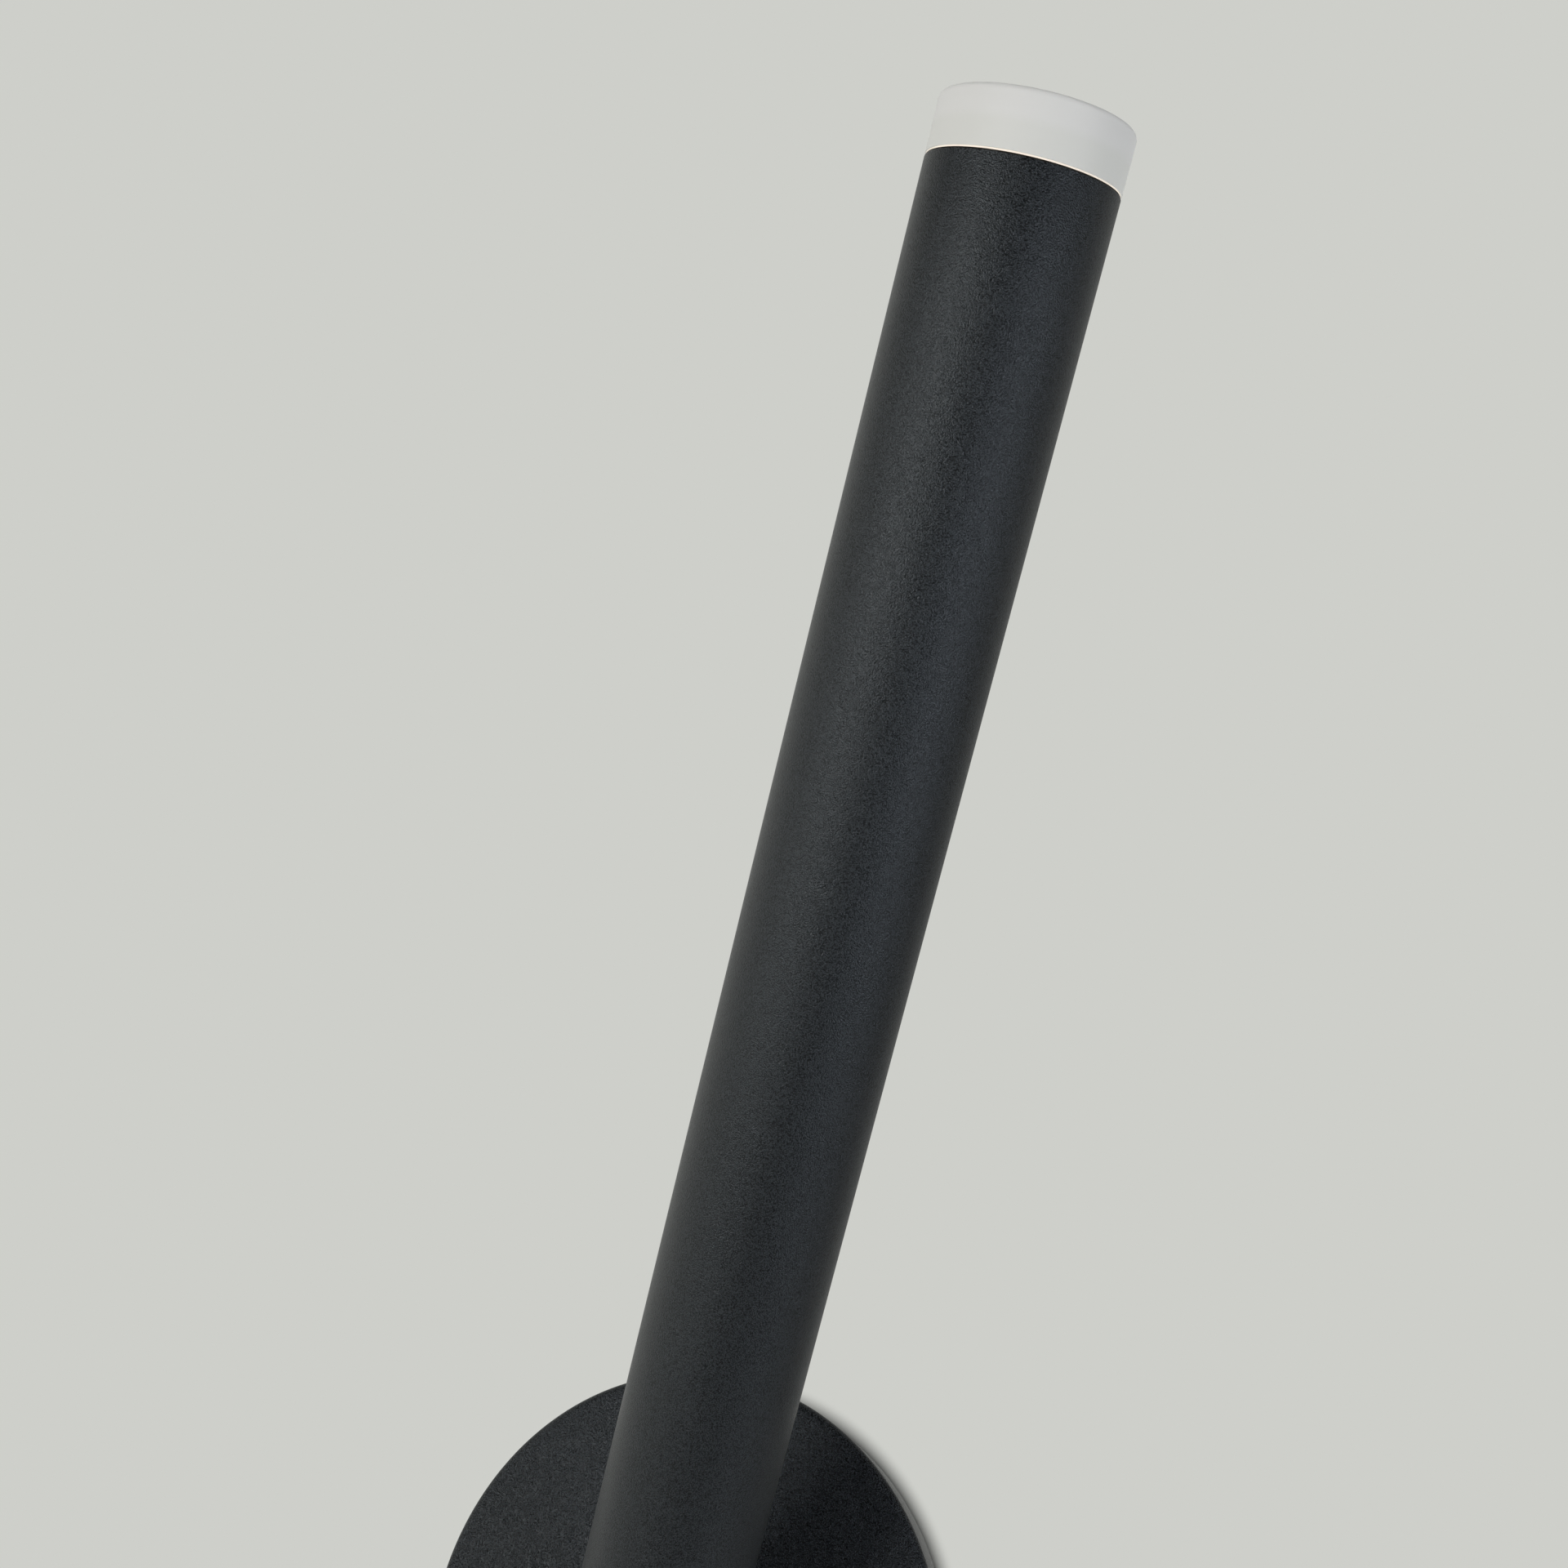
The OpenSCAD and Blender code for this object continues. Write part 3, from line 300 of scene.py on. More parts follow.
def worked(solid, tools, operation="DIFFERENCE"):
    """The solid with the tools cut out of it, joined to it or kept in common."""
    body = loose("worked", solid)
    tools = [loose("tool", tool) for tool in tools]
    for tool in tools:
        step = body.modifiers.new(operation, "BOOLEAN")
        step.operation, step.solver, step.object = operation, "EXACT", tool
    bpy.context.view_layer.update()
    made = bpy.data.meshes.new_from_object(body.evaluated_get(bpy.context.evaluated_depsgraph_get()))
    result = bmesh.new()
    result.from_mesh(made)
    bpy.data.meshes.remove(made)
    for scrap in [body, *tools]:
        discard(scrap)
    bmesh.ops.remove_doubles(result, verts=result.verts, dist=NEAR)
    bmesh.ops.dissolve_degenerate(result, edges=result.edges, dist=NEAR)
    return result


def together(solids):
    """Several solids in one mesh."""
    whole = bmesh.new()
    for solid in solids:
        mesh = bpy.data.meshes.new("part")
        solid.to_mesh(mesh)
        solid.free()
        whole.from_mesh(mesh)
        bpy.data.meshes.remove(mesh)
    return whole


def stand_for(node, solid, place, soft=0.15 * MM):
    """The finished piece that stands for a CAD node: placed, smoothed, its cut edges softened."""
    solid.transform(place)
    piece = loose(node + "_detail", solid)
    piece.data.polygons.foreach_set("use_smooth", [True] * len(piece.data.polygons))
    piece.data.set_sharp_from_angle(angle=math.radians(35))
    piece.data.materials.append(finish(SLOTS[node]))
    if soft:
        edge = piece.modifiers.new("soft_edges", "BEVEL")
        edge.width, edge.segments, edge.limit_method = soft, 2, "ANGLE"
        edge.angle_limit = math.radians(40)
        edge.harden_normals = False
    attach(piece, BODIES[node])
    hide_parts(node)
    return piece


# Finishes


def add(tree, kind, inputs=None, **settings):
    """A shader node whose inputs take a value or a link."""
    node = tree.nodes.new("ShaderNode" + kind)
    for name, value in settings.items():
        setattr(node, name, value)
    for name, value in (inputs or {}).items():
        if isinstance(value, bpy.types.NodeSocket):
            tree.links.new(value, node.inputs[name])
        else:
            node.inputs[name].default_value = value
    return node


def math_node(tree, operation, *values):
    return add(tree, "Math", dict(enumerate(values)), operation=operation).outputs[0]


def shared(name, inputs, outputs, build):
    """A node group with named sockets, built once."""
    tree = bpy.data.node_groups.get(name)
    if tree is None:
        tree = bpy.data.node_groups.new(name, "ShaderNodeTree")
        for label, default in inputs:
            kind = "NodeSocketFloat" if isinstance(default, float) else "NodeSocketVector"
            socket = tree.interface.new_socket(label, in_out="INPUT", socket_type=kind)
            socket.default_value = default
        for label in outputs:
            tree.interface.new_socket(label, in_out="OUTPUT", socket_type="NodeSocketFloat")
        start, end = tree.nodes.new("NodeGroupInput"), tree.nodes.new("NodeGroupOutput")
        for label, value in build(tree, start.outputs).items():
            tree.links.new(value, end.inputs[label])
    return tree


def build_grain(tree, given):
    """Small flat-topped grains with fine pits between them."""
    scaled = add(tree, "VectorMath", {0: given["Vector"], "Scale": math_node(tree, "DIVIDE", 1.0, given["Width"])},
                 operation="SCALE").outputs[0]
    grains = add(tree, "TexVoronoi", {"Vector": scaled, "Scale": 1.1, "Smoothness": 0.7, "Randomness": 1.0},
                 feature="SMOOTH_F1").outputs["Distance"]
    ripple = {"Vector": scaled, "Scale": 1.5, "Detail": 1.0, "Roughness": 0.5}
    ripple = add(tree, "TexNoise", ripple).outputs["Fac"]
    height = math_node(tree, "MULTIPLY_ADD", grains, -0.6, ripple)
    broad = add(tree, "TexNoise", {"Vector": scaled, "Scale": 0.06, "Detail": 3.0}).outputs["Fac"]
    tone = add(tree, "MapRange", {"Value": height, "From Min": 0.06, "From Max": 0.36}).outputs[0]
    return {"Height": height, "Tone": tone, "Mottle": broad}


def build_brushing(tree, given):
    """Fine parallel marks, stretched along one axis."""
    scaled = add(tree, "VectorMath", {0: given["Vector"], 1: given["Stretch"]}, operation="MULTIPLY").outputs[0]
    marks = add(tree, "TexNoise", {"Vector": scaled, "Scale": 1.0, "Detail": 3.0, "Roughness": 0.6}).outputs["Fac"]
    haze = add(tree, "TexNoise", {"Vector": given["Vector"], "Scale": 90.0, "Detail": 2.0}).outputs["Fac"]
    faint = math_node(tree, "MULTIPLY", marks, 0.4)
    return {"Height": marks, "Tone": math_node(tree, "MULTIPLY_ADD", haze, 0.6, faint)}


def grain(tree, vector, width):
    inputs = [("Vector", (0, 0, 0)), ("Width", 0.5 * MM)]
    group = shared("Surface grain", inputs, ["Height", "Tone", "Mottle"], build_grain)
    node = tree.nodes.new("ShaderNodeGroup")
    node.node_tree = group
    tree.links.new(vector, node.inputs["Vector"])
    node.inputs["Width"].default_value = width
    return node.outputs


def brushing(tree, vector, stretch):
    group = shared("Brushing", [("Vector", (0, 0, 0)), ("Stretch", (1, 1, 1))], ["Height", "Tone"], build_brushing)
    node = tree.nodes.new("ShaderNodeGroup")
    node.node_tree = group
    tree.links.new(vector, node.inputs["Vector"])
    node.inputs["Stretch"].default_value = stretch
    return node.outputs


def blank(name):
    """A new material with its tree, its shader and the object's coordinates."""
    made = bpy.data.materials.new(name)
    made.use_nodes = True
    tree = made.node_tree
    shader = tree.nodes["Principled BSDF"]
    vector = tree.nodes.new("ShaderNodeTexCoord").outputs["Object"]
    return made, tree, shader, vector


def placed(tree, vector, place):
    """Object coordinates turned into the frame of a place."""
    back = place.inverted()
    return add(tree, "Mapping", {"Vector": vector, "Location": back.to_translation(), "Rotation": back.to_euler()},
               vector_type="POINT").outputs[0]


def tint(tree, shader, first, second, factor):
    """Base colour between two colours by a factor."""
    mix = add(tree, "Mix", {0: factor, 6: (*first, 1), 7: (*second, 1)}, data_type="RGBA")
    tree.links.new(mix.outputs[2], shader.inputs["Base Color"])


def scaled_colour(base, amount):
    return tuple(min(1, c * amount) for c in base)


def relief(tree, shader, height, depth, strength=1.0):
    bump = add(tree, "Bump", {"Height": height, "Distance": depth, "Strength": strength})
    tree.links.new(bump.outputs[0], shader.inputs["Normal"])


def spread(tree, shader, socket, factor, low, high):
    """A shader value that varies between two limits over the surface."""
    value = add(tree, "MapRange", {"Value": factor, "To Min": low, "To Max": high}).outputs[0]
    tree.links.new(value, shader.inputs[socket])


def powder_coat(name, looks, coarse=1.0):
    """Black textured powder coat. A coarser one has wider, deeper grains with glossier tops."""
    made, tree, shader, vector = blank(name)
    marks = grain(tree, vector, looks.coat_grain * coarse)
    # Painted shade: the base colour follows the grain's height, black in the pits and lighter on the tops,
    # standing for the shading of the relief on top of the bump.
    tint(tree, shader, scaled_colour(looks.coat, 0.0), scaled_colour(looks.coat, 2.0), marks["Tone"])
    rough = looks.coat_rough / coarse
    spread(tree, shader, "Roughness", marks["Mottle"], rough - 0.03, rough + 0.03)
    shader.inputs["Specular IOR Level"].default_value = 0.44
    shader.inputs["Specular Tint"].default_value = (0.88, 0.95, 1.0, 1.0)
    relief(tree, shader, marks["Height"], looks.coat_relief * coarse**2)
    return made


def plated(name, looks):
    made, tree, shader, vector = blank(name)
    marks = brushing(tree, vector, (2600, 2600, 160))
    tint(tree, shader, scaled_colour(looks.zinc, 0.78), scaled_colour(looks.zinc, 1.1), marks["Tone"])
    spread(tree, shader, "Roughness", marks["Tone"], 0.3, 0.5)
    shader.inputs["Metallic"].default_value = 0.9
    relief(tree, shader, marks["Height"], 0.006 * MM)
    return made


def blackened(name, looks):
    made, tree, shader, vector = blank(name)
    marks = grain(tree, vector, 0.25 * MM)
    tint(tree, shader, scaled_colour(looks.dark_steel, 0.6), scaled_colour(looks.dark_steel, 1.5), marks["Tone"])
    spread(tree, shader, "Roughness", marks["Tone"], 0.28, 0.46)
    shader.inputs["Metallic"].default_value = 0.8
    relief(tree, shader, marks["Height"], 0.008 * MM)
    return made


def bare_metal(name, base, low, high, stretch):
    made, tree, shader, vector = blank(name)
    marks = brushing(tree, vector, stretch)
    tint(tree, shader, scaled_colour(base, 0.8), scaled_colour(base, 1.1), marks["Tone"])
    spread(tree, shader, "Roughness", marks["Tone"], low, high)
    shader.inputs["Metallic"].default_value = 1.0
    relief(tree, shader, marks["Height"], 0.01 * MM)
    return made


def moulded(name, base, rough, width=0.3 * MM, depth=0.01 * MM, vary=0.12, coat=0.0):
    """Plastic or rubber with a fine moulded surface."""
    made, tree, shader, vector = blank(name)
    marks = grain(tree, vector, width)
    tint(tree, shader, scaled_colour(base, 1 - vary), scaled_colour(base, 1 + vary), marks["Mottle"])
    spread(tree, shader, "Roughness", marks["Tone"], rough - 0.06, rough + 0.06)
    shader.inputs["Coat Weight"].default_value = coat
    relief(tree, shader, marks["Height"], depth)
    return made


def frosted(name, looks):
    """Frosted plastic with painted light: an emission stands for the light it passes on, though the unlit diffuser
    is no lamp, a little more in its lid than in its skirt.
    """
    made, tree, shader, vector = blank(name)
    along = placed(tree, vector, ON_TUBE)
    height = add(tree, "SeparateXYZ", {"Vector": along}).outputs["Z"]
    lid = add(tree, "MapRange", {
        "Value": height, "From Min": CAP_HIGH.z - 5.4 * MM, "From Max": CAP_HIGH.z - 3.5 * MM,
    }, interpolation_type="SMOOTHSTEP").outputs[0]
    # Painted shade and light: the solid lid's base colour is a little lighter than that of the hollow skirt,
    # through which the dark tube shows.
    tint(tree, shader, looks.frosted, scaled_colour(looks.frosted, 1.04), lid)
    # Painted light: emission, though the diffuser is no lamp.
    glow = add(tree, "Mix", {0: lid, 6: (*looks.skirt_painted_light, 1), 7: (*looks.lid_painted_light, 1)}, data_type="RGBA")
    tree.links.new(glow.outputs[2], shader.inputs["Emission Color"])
    shader.inputs["Emission Strength"].default_value = 1.0
    marks = grain(tree, vector, 0.2 * MM)
    spread(tree, shader, "Roughness", marks["Tone"], 0.5, 0.62)
    shader.inputs["Specular IOR Level"].default_value = 0.2
    relief(tree, shader, marks["Height"], 0.004 * MM)
    return made


def silicone(name, looks):
    """Pale silicone with painted light, an emission that stands for the light it passes on though it is no lamp,
    and painted shade: a dark band where it meets the tube.
    """
    made, tree, shader, vector = blank(name)
    along = placed(tree, vector, ON_TUBE)
    height = add(tree, "SeparateXYZ", {"Vector": along}).outputs["Z"]
    # Painted shadow: below this height the gasket takes the dark shadow colour.
    seam = GASKET_LOW.z + 0.16 * MM
    pale = add(tree, "MapRange", {
        "Value": height, "From Min": seam - 0.02 * MM, "From Max": seam + 0.02 * MM,
    }, interpolation_type="SMOOTHSTEP").outputs[0]
    tint(tree, shader, looks.seam, looks.cream, pale)
    # Painted light: emission on the pale part only.
    glow = add(tree, "Mix", {0: pale, 6: (0, 0, 0, 1), 7: (*looks.cream_painted_light, 1)}, data_type="RGBA")
    tree.links.new(glow.outputs[2], shader.inputs["Emission Color"])
    shader.inputs["Emission Strength"].default_value = 1.0
    marks = grain(tree, vector, 0.2 * MM)
    spread(tree, shader, "Roughness", marks["Tone"], 0.5, 0.65)
    shader.inputs["Specular IOR Level"].default_value = 0.2
    return made


FINISHES = {
    "black_powder_coat": lambda name, looks: powder_coat(name, looks, coarse=1.3),
    "black_coated_aluminium": powder_coat,
    "zinc_plated_steel": plated,
    "blackened_steel": blackened,
    "frosted_acrylic": frosted,
    "brass": lambda name, looks: bare_metal(name, (0.7, 0.48, 0.18), 0.3, 0.45, (2400, 200, 2400)),
    "bare_aluminium": lambda name, looks: bare_metal(name, (0.66, 0.67, 0.69), 0.3, 0.5, (200, 2200, 2200)),
    "white_plastic": lambda name, looks: moulded(name, (0.7, 0.7, 0.67), 0.5, vary=0.04),
    "board_white": lambda name, looks: moulded(name, (0.72, 0.72, 0.69), 0.32, vary=0.04, coat=0.3),
    "board_green": lambda name, looks: moulded(name, (0.02, 0.13, 0.055), 0.3, vary=0.2, coat=0.4),
    "led_yellow": lambda name, looks: moulded(name, (0.8, 0.6, 0.1), 0.4, vary=0.08, coat=0.5),
    "gasket_silicone": silicone,
    "black_rubber": lambda name, looks: moulded(name, (0.012, 0.012, 0.012), 0.62, vary=0.3, depth=0.015 * MM),
    "brown_fibre": lambda name, looks: moulded(name, (0.16, 0.075, 0.035), 0.8, width=0.15 * MM, vary=0.3),
    "wire_brown": lambda name, looks: moulded(name, (0.12, 0.045, 0.02), 0.42, vary=0.15),
    "wire_green": lambda name, looks: moulded(name, (0.2, 0.42, 0.05), 0.42, vary=0.2),
}


def finish(slot):
    """The material of one of the record's slots, made on first use."""
    name = slot + "_finish"
    return bpy.data.materials.get(name) or FINISHES[slot](name, bpy.context.scene.wall_light.finish)


# Cuts that the tube and its joint block share


def tongue_slot(sizes):
    """Space that the tongue sweeps in the tube's lower end."""
    half, out = sizes.slot_wide / 2, sizes.radius + OVER
    low = BLOCK_LOW.z - OVER
    return worked(
        bar((-half, 0, low), (half, out, sizes.slot_high)),
        [
            bar((-half, -sizes.slot_round, low), (half, OVER, OVER)),
            rod(sizes.slot_round, sizes.slot_wide, ALONG_X @ Matrix.Translation((0, 0, -half))),
        ],
        "UNION",
    )


def pin_holes(sizes):
    """The pin's bore and the counterbores for its two heads."""
    seat = sizes.pin_face - 4 * MM
    cuts = [rod(sizes.pin + 0.05 * MM, 4 * sizes.radius, ALONG_X @ Matrix.Translation((0, 0, -2 * sizes.radius)))]
    for side in (1, -1):
        place = ALONG_X @ Matrix.Diagonal((1, 1, side, 1)) @ Matrix.Translation((0, 0, seat))
        hole = rod(sizes.pin_head + 0.1 * MM, sizes.radius, place)
        bmesh.ops.recalc_face_normals(hole, faces=hole.faces)
        cuts.append(hole)
    return cuts


def screw_seats(sizes, heights, length):
    """Holes and countersinks in the tube's rear."""
    cuts = []
    for height in heights:
        place = Matrix.Translation((0, sizes.screw_face, height)) @ TO_REAR
        cuts.append(rod(sizes.screw, length + 2 * OVER, place @ Matrix.Translation((0, 0, -length - OVER))))
        seat = place @ Matrix.Translation((0, 0, -sizes.screw))
        cuts.append(rod(sizes.screw, sizes.screw, seat, far_radius=2 * sizes.screw))
        cuts.append(rod(2 * sizes.screw, OVER, place))
    return cuts


def rear_screw(sizes, height, length):
    """A countersunk screw with a hex socket, flush with the tube's rear."""
    shank, head = sizes.screw - 0.05 * MM, 2 * sizes.screw - 0.05 * MM
    solid = turned([
        (0, -length, 0),
        (shank, -length, 0.15 * MM),
        (shank, -sizes.screw, 0),
        (head, 0, 0.08 * MM),
        (0, 0, 0),
    ], 48)
    socket = rod(0.9 * sizes.screw, 2 * sizes.screw, Matrix.Translation((0, 0, -sizes.screw)), DRIVE_SIDES)
    solid = worked(solid, [socket])
    solid.transform(Matrix.Translation((0, sizes.screw_face, height)) @ TO_REAR)
    return solid


BLOCK_SCREWS = (15.5 * MM, 22.5 * MM)
SINK_SCREW = (SINK_LOW.z + SINK_HIGH.z) / 2


# Pieces


class WALL_LIGHT_OT_canopy(Operator):
    """Turns the canopy cup and cuts its holes."""

    bl_idname = "wall_light.canopy"
    bl_label = "Canopy"

    def execute(self, context):
        s = context.scene.wall_light.canopy
        inner = s.radius - s.wall
        cup = turned([
            (s.radius, 0, 0.2 * MM),
            (s.radius, s.depth, s.edge),
            (s.hole, s.depth, 0.15 * MM),
            (s.hole, s.depth - s.face, 0),
            (inner, s.depth - s.face, 0.8 * MM),
            (inner, 0, 0.2 * MM),
        ], 192)
        holes = rod(s.screw + 0.1 * MM, 3 * s.radius, Matrix.Translation((0, 0, s.screw_out)) @ ALONG_X
                    @ Matrix.Translation((0, 0, -1.5 * s.radius)), 32)
        stand_for("canopy", worked(cup, [holes]), ON_WALL, soft=0)
        return {"FINISHED"}


class WALL_LIGHT_OT_canopy_screws(Operator):
    """Makes the two pan-head screws in the canopy's sides."""

    bl_idname = "wall_light.canopy_screws"
    bl_label = "Canopy screws"

    def execute(self, context):
        s = context.scene.wall_light.canopy
        low, high = measured("canopy_screws", ON_WALL)
        head, reach = (high.y - low.y) / 2, high.x - s.radius
        screws = []
        for side in (1, -1):
            screw = turned([
                (0, -6 * MM, 0),
                (s.screw - 0.05 * MM, -6 * MM, 0.3 * MM),
                (s.screw - 0.05 * MM, 0, 0),
                (head, 0, 0.1 * MM),
                (head, 0.35 * reach, 0.5 * MM),
                (head * 0.62, 0.9 * reach, 0.5 * MM),
                (0, reach, 0),
            ], 64)
            deep = 0.6 * reach
            cross = []
            for long, wide in ((0.6, 0.16), (0.16, 0.6)):
                corner = Vector((head * long, head * wide, reach - deep))
                cross.append(bar((-corner.x, -corner.y, corner.z), (corner.x, corner.y, reach + OVER)))
            screw = worked(screw, cross)
            turn = Matrix.Rotation(side * math.pi / 2, 4, "Y")
            screw.transform(Matrix.Translation((side * s.radius, 0, s.screw_out)) @ turn)
            screws.append(screw)
        stand_for("canopy_screws", together(screws), ON_WALL, soft=0.05 * MM)
        return {"FINISHED"}


SMALL_HOLES = ((-4, 18, 1.6), (-4, 40.7, 1.5), (25, 30, 2), (-33.5, -25.6, 1.5), (33.5, -25.6, 1.5))


class WALL_LIGHT_OT_wall_plate(Operator):
    """Makes the wall plate with its tabs, slots and holes, and the grommet in its cable hole."""

    bl_idname = "wall_light.wall_plate"
    bl_label = "Wall plate"

    def execute(self, context):
        s = context.scene.wall_light.plate
        canopy = context.scene.wall_light.canopy
        disc = turned([
            (s.hole, 0, 0),
            (PLATE_HIGH.x, 0, 0),
            (PLATE_HIGH.x, s.thick, 0),
            (s.hole, s.thick, 0),
        ], 192)
        half, end = s.tab_wide / 2, (s.slot_long - s.slot_wide) / 2
        through = s.thick + 2 * OVER
        tabs, cuts = [], []
        for side in (1, -1):
            near, far = sorted((side * s.tab_face, side * (s.tab_face - s.thick)))
            tab = bar((near, -half, 0), (far, half, PLATE_HIGH.z))
            corners = [
                e for e in tab.edges if all(v.co.z > half and v.co.y * e.verts[0].co.y > 0 for v in e.verts)
            ]
            bmesh.ops.bevel(tab, geom=corners, offset=1 * MM, segments=4, profile=0.5, affect="EDGES", material=-1)
            tabs.append(tab)
            slot = Vector((side * s.slot_out, 0, 0))
            flat, deep = Vector((end, s.slot_wide / 2, through - OVER)), Vector((end, s.slot_wide / 2, OVER))
            cuts.append(bar(slot - deep, slot + flat))
            for shift in (-end, end):
                place = Matrix.Translation(slot + Vector((shift, 0, -OVER)))
                cuts.append(rod(s.slot_wide / 2, through, place, 48))
            screw = Matrix.Translation((side * s.tab_face, 0, canopy.screw_out)) @ ALONG_X
            cuts.append(rod(canopy.screw, 4 * s.thick, screw @ Matrix.Translation((0, 0, -2 * s.thick)), 32))
        for across, up, radius in SMALL_HOLES:
            cuts.append(rod(radius * MM, through, Matrix.Translation((across * MM, up * MM, -OVER)), 32))
        stand_for("wall_plate", worked(worked(disc, tabs, "UNION"), cuts), ON_WALL, soft=0.12 * MM)
        flange = s.thick + s.flange_high
        grommet = turned([
            (s.bore, 0, 0.2 * MM),
            (s.hole - 0.05 * MM, 0, 0.2 * MM),
            (s.hole - 0.05 * MM, s.thick, 0),
            (s.flange, s.thick, 0.2 * MM),
            (s.flange, flange, 0.6 * MM),
            (s.hole, flange, 0.3 * MM),
            (s.lip, GROMMET_HIGH.z, 0.5 * MM),
            (s.bore, GROMMET_HIGH.z, 0.4 * MM),
        ], 96)
        stand_for("cable_grommet", grommet, ON_WALL, soft=0)
        return {"FINISHED"}


class WALL_LIGHT_OT_swivel_post(Operator):
    """Makes the swivel post with its flange, tongue and wire window, and the bush under it."""

    bl_idname = "wall_light.swivel_post"
    bl_label = "Swivel post"

    def execute(self, context):
        s = context.scene.wall_light.post
        canopy = context.scene.wall_light.canopy
        seat, top = BUSH_HIGH.z, BUSH_HIGH.z + s.flange_high
        neck = 1 * MM
        foot = turned([
            (0, POST_LOW.z, 0),
            (s.shank, POST_LOW.z, 0.4 * MM),
            (s.shank, seat, 0),
            (s.flange, seat, 0.2 * MM),
            (s.flange, top - neck, 0.3 * MM),
            (s.flange - neck, top, 0.3 * MM),
            (0, top, 0),
        ])
        half = s.tongue_wide / 2
        tongue = worked(
            rod(s.tongue, PIN_OUT - seat - OVER, Matrix.Translation((0, 0, seat + OVER)), TURN_SIDES),
            [bar((-half, -2 * s.tongue, seat), (half, 2 * s.tongue, PIN_OUT + OVER))],
            "INTERSECT",
        )
        to_pin = Matrix.Translation((0, 0, PIN_OUT)) @ ALONG_X
        eye = rod(s.tongue, s.tongue_wide, to_pin @ Matrix.Translation((0, 0, -half)), TURN_SIDES)
        window = top + s.bore + OVER
        pin = context.scene.wall_light.tube.pin + 0.05 * MM
        post = worked(worked(foot, [tongue, eye], "UNION"), [
            rod(pin, 2 * s.tongue_wide, to_pin @ Matrix.Translation((0, 0, -s.tongue_wide))),
            rod(s.bore, window + OVER - POST_LOW.z + OVER, Matrix.Translation((0, 0, POST_LOW.z - OVER)), 32),
            rod(s.bore, 2 * s.tongue, Matrix.Translation((0, 0, window)) @ TO_REAR, 32),
        ])
        stand_for("swivel_post", post, ON_POST, soft=0.3 * MM)
        bore = s.shank + 0.05 * MM
        sleeve = canopy.hole - 0.05 * MM
        bush = turned([
            (bore, BUSH_LOW.z, 0),
            (sleeve, BUSH_LOW.z, 0.1 * MM),
            (sleeve, canopy.depth, 0),
            (BUSH_HIGH.x, canopy.depth, 0),
            (BUSH_HIGH.x, BUSH_HIGH.z, 0.2 * MM),
            (bore, BUSH_HIGH.z, 0),
        ])
        stand_for("swivel_bush", bush, ON_WALL, soft=0)
        return {"FINISHED"}


class WALL_LIGHT_OT_tube(Operator):
    """Turns the tube and cuts its slot, pin holes and screw seats."""

    bl_idname = "wall_light.tube"
    bl_label = "Tube"

    def execute(self, context):
        s = context.scene.wall_light.tube
        bore = s.radius - s.wall
        tube = turned([
            (s.radius, TUBE_LOW.z, 0),
            (s.radius, 32 * MM, 0),
            (s.radius, SINK_LOW.z, 0),
            (s.radius, SINK_HIGH.z, 0),
            (s.radius, TUBE_HIGH.z, 0.18 * MM),
            (bore, TUBE_HIGH.z, 0),
            (bore, SINK_HIGH.z, 0),
            (bore, SINK_LOW.z, 0),
            (bore, 32 * MM, 0),
            (bore, TUBE_LOW.z, 0),
        ], 160)
        seats = [*screw_seats(s, BLOCK_SCREWS, 6 * MM), *screw_seats(s, [SINK_SCREW], 5 * MM)]
        stand_for("tube", worked(tube, [tongue_slot(s), *pin_holes(s), *seats]), ON_TUBE)
        return {"FINISHED"}


class WALL_LIGHT_OT_joint_block(Operator):
    """Turns the joint block and cuts its slot, wire hole, pin holes and screw seats."""

    bl_idname = "wall_light.joint_block"
    bl_label = "Joint block"

    def execute(self, context):
        s = context.scene.wall_light.tube
        snug = s.radius - s.wall - 0.05 * MM
        block = turned([
            (0, BLOCK_LOW.z, 0),
            (s.radius, BLOCK_LOW.z, 0.5 * MM),
            (s.radius, TUBE_LOW.z, 0),
            (snug, TUBE_LOW.z, 0),
            (snug, BLOCK_HIGH.z, 0.4 * MM),
            (0, BLOCK_HIGH.z, 0),
        ], 160)
        wire = rod(2.5 * MM, BLOCK_HIGH.z + OVER, Matrix.Translation((0, -2.4 * MM, 0)), 32)
        cuts = [tongue_slot(s), *pin_holes(s), wire, *screw_seats(s, BLOCK_SCREWS, 6 * MM)]
        stand_for("joint_block", worked(block, cuts), ON_TUBE)
        return {"FINISHED"}


